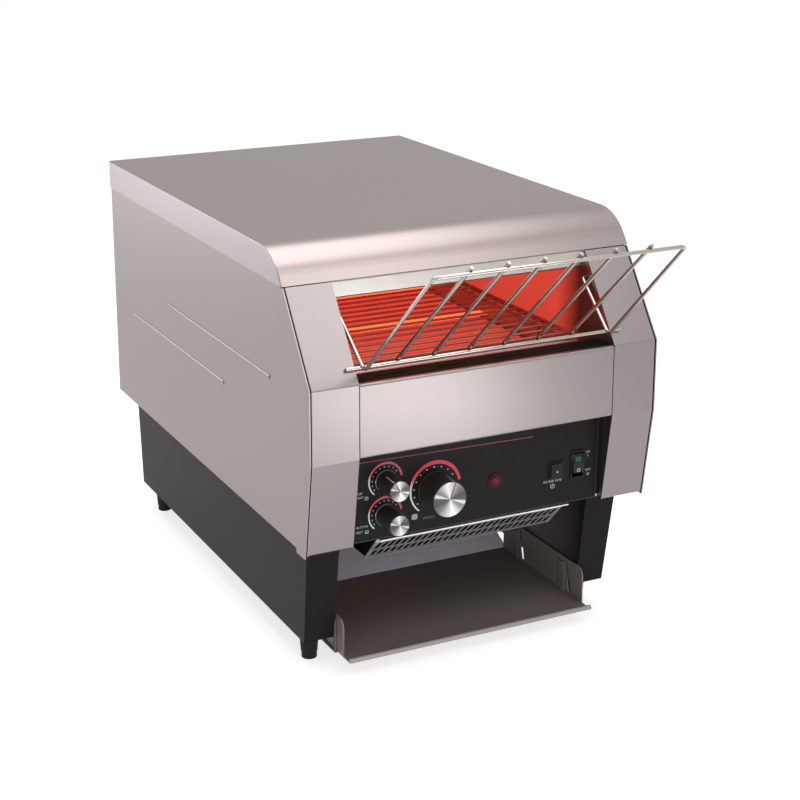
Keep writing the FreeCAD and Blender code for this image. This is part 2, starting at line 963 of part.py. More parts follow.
def belt_chain():
    """The right chain of flat links, round both drums."""
    links = 2 * straight_links + wrap_links
    outer = prism(link_ring(1, links), 0, on_yz(link_x), V(link_thickness, 0, 0))
    inner = prism(link_ring(-1, links), 0, on_yz(link_x - overrun), V(link_thickness + overrun * 2, 0, 0))
    return outer.cut(inner)


def belt_wire(y, z, turn):
    """One cross wire of the belt, from chain to chain."""
    corners = []
    for index in range(wire_sides):
        angle = turn + 2 * math.pi * index / wire_sides
        corners.append((y + wire_radius * math.cos(angle), z + wire_radius * math.sin(angle)))
    return prism(corners, 0, on_yz(-link_x), V(link_x * 2, 0, 0))


def belt_wires():
    """The cross wires of the ladder belt, one to each link."""
    links = 2 * straight_links + wrap_links
    wires = []
    for index in range(links):
        (y, z), turn = belt_path(index / links)
        wires.append(belt_wire(y, z, turn))
    return Part.makeCompound(wires)


def belt_guides():
    """Angle rails that carry the loaded run of the belt."""
    top = belt_underside - fit_gap
    low_y = front_shaft_y + guide_margin
    high_y = rear_shaft_y - guide_margin
    upright = box(guide_x, guide_x + frame_sheet, low_y, high_y, top - guide_height, top)
    foot = box(
        guide_x, half_frame, low_y, high_y, top - guide_height - frame_sheet, top - guide_height
    )
    rail = upright.fuse(foot).removeSplitter()
    return Part.makeCompound(both_sides(rail))


def drum(y):
    """A closed belt drum on its shaft."""
    half = link_x - fit_gap * 2
    corners = round_line(y, shaft_z, drum_radius, wrap_links * 2)
    roller = prism(corners, 0, on_yz(-half), V(half * 2, 0, 0))
    return roller.cut(rod_x(-half_cover, half_cover, y, shaft_z, shaft_radius))


def conveyor_shaft(y, right_reach):
    """A conveyor shaft from one bearing to the other, and on to its gear."""
    return rod_x(-half_body - shaft_end_reach, half_body + right_reach, y, shaft_z, shaft_radius)


def bush(y, x_low, x_high):
    """A many-sided bush about a shaft, or its hole."""
    corners = round_line(y, shaft_z, bearing_radius, bearing_sides)
    return prism(corners, 0, on_yz(x_low), V(x_high - x_low, 0, 0))


def shaft_bearings():
    """Bushes that carry the two shafts in the side frames."""
    bushes = []
    for y in (front_shaft_y, rear_shaft_y):
        bore = rod_x(0, half_cover, y, shaft_z, shaft_radius + running_gap)
        bushes.extend(both_sides(bush(y, half_frame, half_frame + bearing_length).cut(bore)))
    return Part.makeCompound(bushes)


def tooth_angle(radius, pitch_radius, base_radius):
    """How far an involute flank has turned from its tooth's middle at a radius."""
    def spread(cosine):
        angle = math.acos(min(1.0, cosine))
        return math.tan(angle) - angle
    half = (math.pi * gear_module / 2 - gear_backlash / 2) / (2 * pitch_radius)
    return half + spread(base_radius / pitch_radius) - spread(base_radius / max(radius, base_radius))


def gear_blank(teeth, phase):
    """The outline of a spur gear with involute flanks, one tooth at the phase angle."""
    pitch_radius = gear_module * teeth / 2
    base_radius = pitch_radius * math.cos(math.radians(pressure_angle))
    root = pitch_radius - gear_module * dedendum_share
    tip = pitch_radius + gear_module * addendum_share
    low = max(root, base_radius)
    rise = []
    for index in range(flank_points):
        radius = low + (tip - low) * index / (flank_points - 1)
        rise.append((radius, tooth_angle(radius, pitch_radius, base_radius)))
    if root < base_radius:
        rise.insert(0, (root, rise[0][1]))
    points = []
    for tooth in range(teeth):
        middle = phase + 2 * math.pi * tooth / teeth
        for radius, angle in rise:
            points.append((radius * math.cos(middle - angle), radius * math.sin(middle - angle)))
        for radius, angle in rise[::-1]:
            points.append((radius * math.cos(middle + angle), radius * math.sin(middle + angle)))
    return points


def spur_gear(teeth, y, z, x_low, phase):
    """A spur gear about a shaft along X."""
    points = [(y + a, z + b) for a, b in gear_blank(teeth, phase)]
    return prism(points, 0, on_yz(x_low), V(gear_width, 0, 0))


def driven_gear():
    """The gear on the rear shaft, a tooth pointing at the pinion, with its hub."""
    phase = math.radians(train_angle)
    wheel = spur_gear(gear_teeth, rear_shaft_y, shaft_z, gear_x, phase)
    hub_line = round_line(rear_shaft_y, shaft_z, gear_hub_radius, bearing_sides)
    hub = prism(hub_line, 0, on_yz(gear_x + gear_width), V(gear_hub_length, 0, 0))
    wheel = wheel.fuse(hub).removeSplitter()
    return wheel.cut(rod_x(0, half_cover, rear_shaft_y, shaft_z, shaft_radius))


def motor_pinion():
    """The pinion, a gap facing the driven gear, in one piece with its shaft."""
    phase = math.radians(train_angle) + math.pi + math.pi / pinion_teeth
    pinion = spur_gear(pinion_teeth, motor_y, motor_z, gear_x, phase)
    shaft = rod_x(half_frame - gearbox_nose, gear_x + gear_width, motor_y, motor_z, motor_shaft_radius)
    return pinion.fuse(shaft).removeSplitter()


def drive_motor():
    """The gearmotor: gearbox against the frame, laminated stator and coil behind it."""
    high_x = half_frame
    top = motor_z + gearbox_nose
    gearbox = prism(
        [
            (motor_y + gearbox_nose, gearbox_foot_z),
            (motor_y + gearbox_nose, top),
            (motor_y + gearbox_nose - gearbox_length, top),
            (motor_y + gearbox_nose - gearbox_length, gearbox_foot_z),
        ],
        corner_radius * 2,
        on_yz(high_x - gearbox_width),
        V(gearbox_width, 0, 0),
    )
    stator_y = motor_y + gearbox_nose - gearbox_length
    stator = box(
        high_x - gearbox_width - stator_width,
        high_x - gearbox_width,
        stator_y,
        stator_y + stator_length,
        gearbox_foot_z,
        gearbox_foot_z + stator_height,
    )
    coil_start = high_x - gearbox_width - stator_width - coil_width
    coil_line = round_line(
        stator_y + stator_length / 2, gearbox_foot_z + stator_height / 2, coil_radius, coil_sides
    )
    coil = prism(coil_line, 0, on_yz(coil_start), V(coil_width, 0, 0))
    body = gearbox.multiFuse([stator, coil]).removeSplitter()
    bore_reach = gearbox_nose + overrun
    bore = rod_x(high_x - bore_reach, high_x + overrun, motor_y, motor_z, motor_shaft_radius + running_gap)
    return body.cut(bore)


def component_shelf():
    """The shelf over the chute that carries the motor and catches crumbs."""
    top = gearbox_foot_z
    line = [
        (shelf_front_y, top + shelf_lip),
        (shelf_front_y, top - sheet),
        (shelf_rear_y, top - sheet),
        (shelf_rear_y, top + shelf_lip),
    ]
    return bent_sheet(line, sheet, -half_frame, half_frame)


def tray_slot(y_foot):
    """A leaning slot through a tray wall, as (y, z) corners."""
    top_z = tray_slot_foot_z + tray_slot_height
    return [
        (y_foot, tray_slot_foot_z),
        (y_foot + tray_slot_width, tray_slot_foot_z),
        (y_foot + tray_slot_lean + tray_slot_width, top_z),
        (y_foot + tray_slot_lean, top_z),
    ]


def discharge_tray():
    """The toast tray: floor with rolled lip, slotted walls and lanced hooks."""
    half = tray_width / 2
    floor = box(
        -half, half, tray_lip_y, tray_rear_y, tray_floor_z, tray_floor_z + tray_sheet
    )
    lip = rod_x(-half, half, tray_lip_y, tray_floor_z + tray_lip_radius, tray_lip_radius)
    corners = [
        (tray_wall_front_y, tray_floor_z),
        (tray_rear_y, tray_floor_z),
        (tray_rear_y, tray_wall_top_z),
        (tray_wall_front_y, tray_wall_top_z),
    ]
    wall = prism(
        corners, [0, 0, 0, tray_corner_radius], on_yz(half - tray_sheet), V(tray_sheet, 0, 0)
    )
    reach = V(tray_sheet + overrun * 2, 0, 0)
    hooks = []
    for y_foot in (tray_slot_front_y, tray_slot_rear_y):
        wall = wall.cut(prism(tray_slot(y_foot), 0, on_yz(half - tray_sheet - overrun), reach))
        hooks.append(tray_hook(y_foot))
    slit = box(
        half - tray_sheet - overrun,
        half + overrun,
        tray_slit_y,
        tray_slit_y + tray_slit_width,
        tray_slot_foot_z,
        tray_slot_foot_z + tray_slot_height,
    )
    wall = wall.cut(slit)
    pieces = [lip]
    for piece in [wall] + hooks:
        pieces.extend(both_sides(piece))
    return floor.multiFuse(pieces).removeSplitter()


def tray_hook(y_foot):
    """A strip lanced from the wall beside its slot and bent into the tray."""
    half = tray_width / 2
    corners = [
        (half - tray_sheet, tray_floor_z + tray_sheet / 2),
        (half - tray_sheet, tray_slot_foot_z + tray_slot_height),
        (half - tray_sheet - tray_hook_bend, tray_slot_foot_z + tray_slot_height),
        (half - tray_sheet - tray_hook_bend, tray_slot_foot_z + tray_slot_height - tray_sheet),
        (half - tray_sheet * 2, tray_slot_foot_z + tray_slot_height - tray_sheet),
        (half - tray_sheet * 2, tray_floor_z + tray_sheet / 2),
    ]
    start = y_foot + tray_slot_lean + tray_slot_width
    return prism(corners, 0, on_xz(start), V(0, tray_slot_width, 0))


def tray_rail():
    """The right rail: an angle on the pedestal wall that the tray slides on."""
    foot_z = tray_floor_z - fit_gap - sheet
    upright = box(half_frame - sheet, half_frame, rail_front_y, rail_rear_y, foot_z, rail_top_z)
    foot = box(half_frame - rail_foot_width, half_frame, rail_front_y, rail_rear_y, foot_z, foot_z + sheet)
    rail = upright.fuse(foot).removeSplitter()
    for y in (tray_slot_front_y, tray_slot_rear_y):
        low_y = y - rail_window_margin
        high_y = y + tray_slot_lean + tray_slot_width * 2 + rail_window_margin
        low_z = foot_z + sheet + fit_gap
        rail = rail.cut(
            box(half_frame - sheet - overrun, half_frame + overrun, low_y, high_y, low_z, foot_height)
        )
    return rail


def rod_between(start, end, radius):
    """A straight many-sided rod between two points."""
    ahead = end - start
    across = ahead.cross(V(1, 0, 0)) if abs(ahead.x) < abs(ahead.z) + abs(ahead.y) else ahead.cross(V(0, 1, 0))
    across = across.normalize()
    square = ahead.cross(across).normalize()
    corners = round_line(0, 0, radius, rod_sides)

    def place(a, b):
        return start + across * a + square * b

    return prism(corners, 0, place, ahead)


def eased(points, bends):
    """A line through points with each corner cut twice, close to its bend."""
    line = [points[0]]
    for index in range(1, len(points) - 1):
        corner = points[index]
        d_in = (corner - points[index - 1]).normalize()
        d_out = (points[index + 1] - corner).normalize()
        turn = d_in.getAngle(d_out)
        reach = bends[index - 1] * math.tan(turn / 2)
        near = bends[index - 1] * math.tan(turn / 6)
        line.append(corner - d_in * (reach - near))
        line.append(corner + d_out * (reach - near))
    line.append(points[-1])
    return line


def bent_rod(points, bends, radius):
    """A round rod along a line, each run cut off square across its corners."""
    line = eased(points, bends)
    pieces = []
    for index in range(len(line) - 1):
        ahead = (line[index + 1] - line[index]).normalize()
        start = line[index] - ahead * radius if index > 0 else line[index]
        end = line[index + 1] + ahead * radius if index < len(line) - 2 else line[index + 1]
        run = rod_between(start, end, radius)
        if index > 0:
            run = run.cut(beyond(line[index], line[index - 1], line[index + 1]))
        if index < len(line) - 2:
            run = run.cut(beyond(line[index + 1], line[index + 2], line[index]))
        pieces.append(run)
    return pieces


def beyond(corner, far, near):
    """The space past the mitre between two runs, on the side of the far one."""
    normal = ((far - corner).normalize() - (near - corner).normalize()).normalize()
    size = rod_radius * 4
    return Part.makeCylinder(size, size, corner, normal)


def rack_frame():
    """The rack's one bent rod: pivot pin, arm, end leg, top rod and back again."""
    pin_x = half_body + rack_pin_reach
    pins = both_sides(rod_x(half_opening, pin_x, rack_pivot_y, rack_pivot_z, rod_radius))
    half = [
        V(half_opening + fit_gap, rack_pivot_y, rack_pivot_z),
        V(rack_arm_x, rack_pivot_y, rack_pivot_z),
        V(rack_half_foot, rack_foot_y, rack_foot_z),
        V(rack_half_top, rack_top_y, rack_top_z),
    ]
    points = half + [V(-point.x, point.y, point.z) for point in half[::-1]]
    bends = [rack_hook_bend, rack_foot_bend, rack_bend]
    return bent_rod(points, bends + bends[::-1], rod_radius) + list(pins)


def rest_rod():
    """The bottom rod, whose ends lie on the cheeks' slope."""
    y, z = slope_point(rest_slope_distance, rod_radius + fit_gap / 2)
    return rod_between(V(-rest_half_length, y, z), V(rest_half_length, y, z), rod_radius)


def rack_wire(share):
    """One slanted wire from the bottom rod to just past the top rod."""
    y, z = slope_point(rest_slope_distance, rod_radius + fit_gap / 2)
    foot = V(rack_half_foot * share, y, z)
    top = V(rack_half_top * share, rack_top_y, rack_top_z)
    ahead = V(0, top.y - foot.y, top.z - foot.z).normalize()
    lift = V(0, ahead.z, -ahead.y) * (rod_radius * 2 - weld_depth)
    start = foot + lift - ahead * rod_radius
    end = top + lift + ahead * wire_lap
    return rod_between(start, end, rod_radius)


def feed_rack():
    """The wire rack that slices lean on before the belt takes them."""
    pieces = rack_frame()
    for index in range(rack_wires):
        pieces.append(rack_wire(2 * (index + 1) / (rack_wires + 1) - 1))
    return rest_rod().multiFuse(pieces).removeSplitter()


def on_panel(shape, u, v):
    """Sets a piece, made with its face at y = 0, on the tilted control panel."""
    placed = shape.copy()
    placed.translate(V(u, 0, v))
    placed.rotate(V(0, 0, 0), V(1, 0, 0), -panel_tilt)
    placed.translate(V(0, panel_foot_y, panel_foot_z))
    return placed


def stud(radius, out, back):
    """A round bar square to the panel, from a height in front to a depth behind."""
    return Part.makeCylinder(radius, out + back, V(0, -out, 0), V(0, 1, 0))


def block(width, height, out, back, radius):
    """A bar with a rounded rectangular outline, square to the panel."""
    corners = [
        (-width / 2, -height / 2),
        (width / 2, -height / 2),
        (width / 2, height / 2),
        (-width / 2, height / 2),
    ]
    return prism(corners, radius, on_xz(-out), V(0, out + back, 0))


def knob_places():
    """Name, place and radius of each knob."""
    return [
        ("speed_knob", speed_u, speed_v, speed_radius),
        ("top_heat_knob", heat_u, top_heat_v, heat_radius),
        ("bottom_heat_knob", heat_u, bottom_heat_v, heat_radius),
    ]


def control_panel():
    """The black panel with its holes and folded side edges."""
    plate = box(-half_frame, half_frame, 0, panel_sheet, 0, panel_height)
    for side in (-1, 1):
        edge = min(side * half_frame, side * (half_frame - panel_sheet))
        plate = plate.fuse(
            box(edge, edge + panel_sheet, 0, panel_sheet + panel_edge_return, 0, panel_height)
        )
    plate = plate.removeSplitter()
    panel = on_panel(plate, 0, 0)
    for name, u, v, radius in knob_places():
        panel = panel.cut(on_panel(stud(stem_radius + running_gap, overrun, pot_length), u, v))
    lamp_width = lamp_radius + lamp_rim
    lamp_hole = block(lamp_width, lamp_width, overrun, panel_sheet + overrun, 0)
    panel = panel.cut(on_panel(lamp_hole, lamp_u, lamp_v))
    for u, v, width, height in switch_places():
        hole = block(width + switch_rim, height + switch_rim, overrun, panel_sheet + overrun, 0)
        panel = panel.cut(on_panel(hole, u, v))
    return panel


def switch_places():
    """Place and moving size of the button and the rocker."""
    return [
        (save_u, save_v, save_width, save_height),
        (rocker_u, rocker_v, rocker_width, rocker_height),
    ]


def faceted(radius, out, back):
    """A many-sided bar square to the panel, its flats at a radius."""
    corners = round_line(0, 0, radius / math.cos(math.pi / knob_sides), knob_sides)
    return prism(corners, 0, on_xz(-out), V(0, out + back, 0))


def knob(radius):
    """A black knob body with its stem."""
    body = faceted(radius, knob_length - knob_cap, -knob_gap)
    return body.fuse(stud(stem_radius, knob_gap + overrun, stem_reach)).removeSplitter()


def knob_cap_disc(radius):
    """The aluminium face of a knob."""
    return faceted(radius - knob_cap_inset, knob_length, knob_cap - knob_length)


def control_bodies():
    """The rotary controls behind the knobs, bored for their stems."""
    bodies = []
    for name, u, v, radius in knob_places():
        width = speed_pot_width if radius > heat_radius else pot_width
        body = block(width, width, -panel_sheet, panel_sheet + pot_length, 0)
        bore = stud(stem_radius + running_gap, overrun, stem_reach + fit_gap)
        bodies.append(on_panel(body.cut(bore), u, v))
    return Part.makeCompound(bodies)


def indicator_lamp():
    """The lamp: a lens standing in its rim, on a body through the panel."""
    lens = faceted(lamp_radius - lamp_rim, lamp_height, 0)
    rim = faceted(lamp_radius, lamp_rim, 0)
    width = lamp_radius + lamp_rim
    body = block(width, width, 0, lamp_body_length, 0)
    return on_panel(rim.multiFuse([lens, body]).removeSplitter(), lamp_u, lamp_v)


def switch_housings():
    """The frames of the button and the rocker, each with its body behind."""
    housings = []
    for u, v, width, height in switch_places():
        outer = block(width + switch_rim * 2, height + switch_rim * 2, switch_bezel, 0, 0)
        body = block(width + switch_rim, height + switch_rim, 0, switch_body_length, 0)
        shape = outer.fuse(body)
        room = block(
            width + button_gap * 2, height + button_gap * 2, switch_bezel + overrun,
            switch_body_length - switch_rim, 0
        )
        shape = shape.cut(room)
        if height == rocker_height:
            holes = rod_x(
                -width / 2 - button_gap - rocker_pin_reach,
                width / 2 + button_gap + rocker_pin_reach,
                rocker_axis_depth(),
                0,
                rocker_pin_radius + running_gap,
            )
            shape = shape.cut(holes)
        housings.append(on_panel(shape, u, v))
    return Part.makeCompound(housings)


def rocker_axis_depth():
    """How far the rocker's pivot lies behind the panel face."""
    return rocker_height / 4


def power_switch_rocker():
    """The rocker: a two-faced paddle on pivot pins, resting with its top pressed in."""
    depth = rocker_axis_depth()
    reach = rocker_height / 2 - button_gap
    swing = math.radians(rocker_swing)
    front = depth + rocker_crown
    edge = math.sqrt(reach * reach - front * front / 4)
    slope = edge * math.tan(swing)
    corners = [
        (-front, 0),
        (-front + slope, edge),
        (depth, edge / 2),
        (depth, -edge / 2),
        (-front + slope, -edge),
    ]
    paddle = prism(
        [(a, b) for a, b in corners], 0, on_yz(-rocker_width / 2), V(rocker_width, 0, 0)
    )
    round_limit = rod_x(-rocker_width, rocker_width, 0, 0, reach)
    paddle = paddle.common(round_limit)
    pin_half = rocker_width / 2 + rocker_pin_reach
    paddle = paddle.fuse(rod_x(-pin_half, pin_half, 0, 0, rocker_pin_radius)).removeSplitter()
    paddle.rotate(V(0, 0, 0), V(1, 0, 0), -rocker_swing)
    paddle.translate(V(0, depth, 0))
    return on_panel(paddle, rocker_u, rocker_v)


def power_save_button():
    """The square push button, standing proud of its frame."""
    cap = block(save_width, save_height, save_stand, switch_body_length / 2, corner_radius / 2)
    return on_panel(cap, save_u, save_v)


def control_housing():
    """The black housing behind the panel: floor, side walls, shoulders and back."""
    half = housing_half_width
    outer_line = [
        (housing_front_y, housing_lip_z),
        (housing_foot_y, housing_foot_z),
        (housing_rear_y, housing_foot_z),
        (housing_rear_y, housing_top_z),
        (housing_set_y, housing_top_z),
        (housing_set_y, housing_step_z),
        (housing_front_y, housing_step_z),
    ]
    outer = prism(outer_line, 0, on_yz(-half), V(half * 2, 0, 0))
    inner_line = [
        (housing_front_y - sheet, housing_top_z + overrun),
        (housing_front_y - sheet, housing_lip_z - sheet),
        (housing_foot_y - sheet, housing_foot_z - sheet),
        (housing_foot_y, housing_foot_z + sheet),
        (housing_rear_y - sheet, housing_foot_z + sheet),
        (housing_rear_y - sheet, housing_top_z + overrun),
    ]
    inner = prism(inner_line, 0, on_yz(sheet - half), V((half - sheet) * 2, 0, 0))
    shell = outer.cut(inner)
    shoulder = box(
        half - sheet,
        half_frame,
        panel_foot_y + panel_sheet + panel_edge_return + fit_gap,
        housing_rear_y,
        side_foot_z,
        side_foot_z + sheet,
    )
    vent_line = round_line(fan_u, fan_z, fan_vent_radius, fan_bore_sides)
    vent = prism(vent_line, 0, on_xz(housing_rear_y - sheet - overrun), V(0, sheet + overrun * 2, 0))
    return shell.multiFuse(list(both_sides(shoulder))).removeSplitter().cut(vent)


def guard_plane():
    """Length and lean of the sloping guard under the control panel."""
    run = housing_foot_y - housing_front_y
    drop = housing_lip_z - housing_foot_z
    return math.hypot(run, drop), math.degrees(math.atan2(drop, run))


def guard_slot(u, v, width, length):
    """The corners of one slot, its top end leaning to the right."""
    return [(u, v + length), (u + width, v + length), (u + width + slot_lean, v), (u + slot_lean, v)]


def mesh_guard():
    """The grille before the fan: rows of leaning slots under a folded top edge."""
    length, lean = guard_plane()
    half = housing_half_width
    along = (V(0, housing_foot_y - housing_front_y, housing_foot_z - housing_lip_z)).normalize()
    foot = V(0, housing_foot_y, housing_foot_z) + along * guard_overhang
    line = [
        (housing_front_y - guard_flange, housing_lip_z),
        (housing_front_y, housing_lip_z),
        (foot.y, foot.z),
    ]
    guard = bent_sheet(line, -guard_sheet, -half, half, 0)
    pitch_u = (half * 2 - guard_border * 2 - slot_lean) / slot_columns
    pitch_v = (length + guard_overhang - guard_band) / slot_rows
    holes = []
    for row in range(slot_rows):
        for column in range(slot_columns):
            u = guard_border - half + pitch_u * column + slot_strand / 2
            v = guard_band + pitch_v * row
            corners = guard_slot(u, v, pitch_u - slot_strand, pitch_v - guard_border)
            holes.append(prism(corners, 0, on_xy(-guard_sheet - overrun), V(0, 0, guard_sheet + overrun * 2)))
    pattern = Part.makeCompound(holes)
    pattern.rotate(V(0, 0, 0), V(1, 0, 0), -lean)
    pattern.translate(V(0, housing_front_y, housing_lip_z))
    return guard.cut(pattern)


def fan_frame():
    """The square fan frame with its bore, struts and bearing hub."""
    half = fan_size / 2
    frame = box(-half, half, 0, fan_depth, -half, half)
    bore_line = round_line(0, 0, fan_bore, fan_bore_sides)
    frame = frame.cut(prism(bore_line, 0, on_xz(-overrun), V(0, fan_depth + overrun * 2, 0)))
    rear = fan_depth - fan_wall
    hub_line = round_line(0, 0, fan_hub_radius, fan_hub_sides)
    pieces = [prism(hub_line, 0, on_xz(rear), V(0, fan_wall, 0))]
    for index in range(fan_struts):
        strut = box(0, fan_bore + overrun, rear, fan_depth, -fan_strut_width / 2, fan_strut_width / 2)
        strut.rotate(V(0, 0, 0), V(0, 1, 0), 360 * (index + 1 / 2) / fan_struts)
        pieces.append(strut)
    frame = frame.multiFuse(pieces).removeSplitter()
    bore = Part.makeCylinder(rotor_pin_radius + running_gap, fan_depth, V(0, 0, 0), V(0, 1, 0))
    frame = frame.cut(bore)
    frame.translate(V(fan_u, fan_front_y, fan_z))
    return frame


def fan_rotor():
    """The fan's hub, pitched blades and the pin it turns on."""
    rear = fan_depth - fan_wall - fit_gap * 2
    hub_line = round_line(0, 0, fan_hub_radius, fan_hub_sides)
    hub = prism(hub_line, 0, on_xz(fan_wall), V(0, rear - fan_wall, 0))
    pin = Part.makeCylinder(rotor_pin_radius, fan_depth - rear, V(0, rear, 0), V(0, 1, 0))
    pitch = math.radians(blade_pitch)
    half_chord = (rear - fan_wall - blade_thickness) / 2 / math.cos(pitch)
    tip = math.sqrt((fan_bore - blade_tip_gap) ** 2 - (half_chord * math.sin(pitch)) ** 2) - blade_tip_gap
    blades = []
    for index in range(blade_count):
        blade = box(0, tip, -half_chord, half_chord, -blade_thickness / 2, blade_thickness / 2)
        blade.rotate(V(0, 0, 0), V(1, 0, 0), blade_pitch)
        blade.translate(V(0, (rear + fan_wall) / 2, 0))
        blade.rotate(V(0, 0, 0), V(0, 1, 0), 360 * index / blade_count)
        blades.append(blade)
    rotor = hub.multiFuse(blades + [pin]).removeSplitter()
    rotor.translate(V(fan_u, fan_front_y, fan_z))
    return rotor


def terminal_block():
    """The mains terminal block on the outside of the left frame."""
    body = box(
        -half_body - terminal_height,
        -half_body,
        terminal_y - terminal_length / 2,
        terminal_y + terminal_length / 2,
        terminal_z,
        terminal_z + terminal_width,
    )
    pitch = terminal_length / terminal_ways
    grooves = []
    for index in range(1, terminal_ways):
        y = terminal_y - terminal_length / 2 + pitch * index
        low = -half_body - terminal_height - overrun
        grooves.append(
            box(
                low, low + terminal_groove + overrun, y - overrun / 2, y + overrun / 2,
                terminal_z - overrun, terminal_z + terminal_width + overrun,
            )
        )
    return body.cut(Part.makeCompound(grooves))


def gland_line():
    """The outline of the gland's thread and of its hole in the back panel."""
    return round_line(gland_x, gland_z, gland_thread_radius, gland_sides)


def cord_gland():
    """The cord's inlet gland through the back panel, open through its middle."""
    face = body_depth - sheet
    start = face - sheet - gland_nut
    thread = prism(gland_line(), 0, on_xz(start), V(0, body_depth + gland_nut - start, 0))
    outer_nut = hex_nut(face)
    inner_nut = hex_nut(face - sheet - gland_nut)
    neck_line = round_line(gland_x, gland_z, gland_bore + gland_wall, gland_sides)
    neck = prism(neck_line, 0, on_xz(body_depth), V(0, gland_nut + gland_neck, 0))
    gland = thread.multiFuse([outer_nut, inner_nut, neck])
    bore = Part.makeCylinder(
        gland_bore, body_depth, V(gland_x, start - overrun, gland_z), V(0, 1, 0)
    )
    return gland.cut(bore).removeSplitter()


def hex_nut(y):
    """A hexagonal nut of the gland."""
    return prism(round_line(gland_x, gland_z, gland_nut_radius, 6), 0, on_xz(y), V(0, gland_nut, 0))


def build():
    """Writes every sub-part."""
    right_panel, left_panel = both_sides(side_panel())
    right_cheek, left_cheek = both_sides(cheek())
    right_base, left_base = both_sides(base())
    right_rail, left_rail = both_sides(tray_rail())
    right_chain, left_chain = both_sides(belt_chain())
    gear_reach = gear_stand_off + gear_width + gear_hub_length + running_gap
    nodes = {
        "top_cover": top_cover(),
        "left_side_panel": left_panel,
        "right_side_panel": right_panel,
        "left_cheek": left_cheek,
        "right_cheek": right_cheek,
        "front_panel": front_panel(),
        "loading_ledge": loading_ledge(),
        "feed_lintel": feed_lintel(),
        "back_panel": back_panel(),
        "left_base": left_base,
        "right_base": right_base,
        "rear_base_panel": rear_base_panel(),
        "rubber_feet": rubber_feet(),
        "left_side_frame": mirrored(side_frame()),
        "right_side_frame": right_side_frame(),
        "element_holders": element_holders(),
        "top_heating_tubes": heating_tubes(top_element_z),
        "bottom_heating_tubes": heating_tubes(bottom_element_z),
        "top_reflector": top_reflector(),
        "bottom_reflector": bottom_reflector(),
        "rear_deflector": rear_deflector(),
        "toast_chute": toast_chute(),
        "belt_wires": belt_wires(),
        "left_belt_chain": left_chain,
        "right_belt_chain": right_chain,
        "belt_guides": belt_guides(),
        "shaft_bearings": shaft_bearings(),
        "front_shaft": conveyor_shaft(front_shaft_y, shaft_end_reach),
        "front_drum": drum(front_shaft_y),
        "rear_shaft": conveyor_shaft(rear_shaft_y, gear_reach),
        "rear_drum": drum(rear_shaft_y),
        "driven_gear": driven_gear(),
        "motor_pinion": motor_pinion(),
        "drive_motor": drive_motor(),
        "component_shelf": component_shelf(),
        "discharge_tray": discharge_tray(),
        "left_tray_rail": left_rail,
        "right_tray_rail": right_rail,
        "feed_rack": feed_rack(),
        "control_panel": control_panel(),
        "control_bodies": control_bodies(),
        "indicator_lamp": indicator_lamp(),
        "switch_housings": switch_housings(),
        "power_switch_rocker": power_switch_rocker(),
        "power_save_button": power_save_button(),
        "control_housing": control_housing(),
        "mesh_guard": mesh_guard(),
        "fan_frame": fan_frame(),
        "fan_rotor": fan_rotor(),
        "terminal_block": terminal_block(),
        "cord_gland": cord_gland(),
    }
    for name, u, v, radius in knob_places():
        nodes[name] = on_panel(knob(radius), u, v)
        nodes[name + "_cap"] = on_panel(knob_cap_disc(radius), u, v)
    os.makedirs("parts", exist_ok=True)
    for node, shape in nodes.items():
        save(node, shape)


build()
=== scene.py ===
import math

import bmesh
import bpy
from mathutils import Matrix, Vector


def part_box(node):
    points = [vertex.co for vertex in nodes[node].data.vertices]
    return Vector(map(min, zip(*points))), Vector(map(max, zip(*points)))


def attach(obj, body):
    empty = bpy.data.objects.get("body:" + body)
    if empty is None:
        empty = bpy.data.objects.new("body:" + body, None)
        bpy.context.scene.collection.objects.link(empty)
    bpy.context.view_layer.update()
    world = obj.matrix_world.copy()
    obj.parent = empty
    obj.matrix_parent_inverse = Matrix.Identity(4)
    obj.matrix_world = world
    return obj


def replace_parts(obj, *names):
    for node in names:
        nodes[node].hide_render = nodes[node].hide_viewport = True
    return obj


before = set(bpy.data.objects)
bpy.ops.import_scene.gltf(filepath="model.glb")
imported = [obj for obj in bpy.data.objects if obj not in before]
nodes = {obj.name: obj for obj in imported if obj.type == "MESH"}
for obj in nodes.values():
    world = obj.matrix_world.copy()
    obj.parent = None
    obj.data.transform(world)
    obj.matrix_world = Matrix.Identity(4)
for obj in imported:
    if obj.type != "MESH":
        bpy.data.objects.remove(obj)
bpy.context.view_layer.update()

# Places read from the frame, in metres

mm = 0.001
panel_foot_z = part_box("control_panel")[0].z
front_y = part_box("right_cheek")[0].y
back_low, back_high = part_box("back_panel")
tray_front_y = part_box("discharge_tray")[0].y
panel_set_back = 20.3 * mm
panel_tilt = math.radians(-1.0)
panel_foot = Vector((0.0, front_y + panel_set_back, panel_foot_z))
panel_plane = Matrix.Translation(panel_foot) @ Matrix.Rotation(-panel_tilt, 4, "X")

# Where painted light, painted highlights and the painted red glow begin and end, in metres

flange_from, flange_to = 0.1836, 0.1841
guard_edge_from, guard_edge_to = 0.1265, 0.1275
inner_face_from, inner_face_to = 0.1360, 0.1363
pedestal_from, pedestal_to = -0.175, -0.09
lip_from, lip_to = tray_front_y + 3.0 * mm, tray_front_y + 4.0 * mm
# The toasting space, whose sheets get a painted red glow in place of the tubes' light
heat_half_width = 0.1366
heat_foot, heat_top = 0.272, 0.385
heat_front, heat_back = front_y + 0.085, 0.272
heat_middle = (0.0, front_y + 0.25, 0.33)

# Places on the control panel: across from its middle, and up from its foot, in millimetres

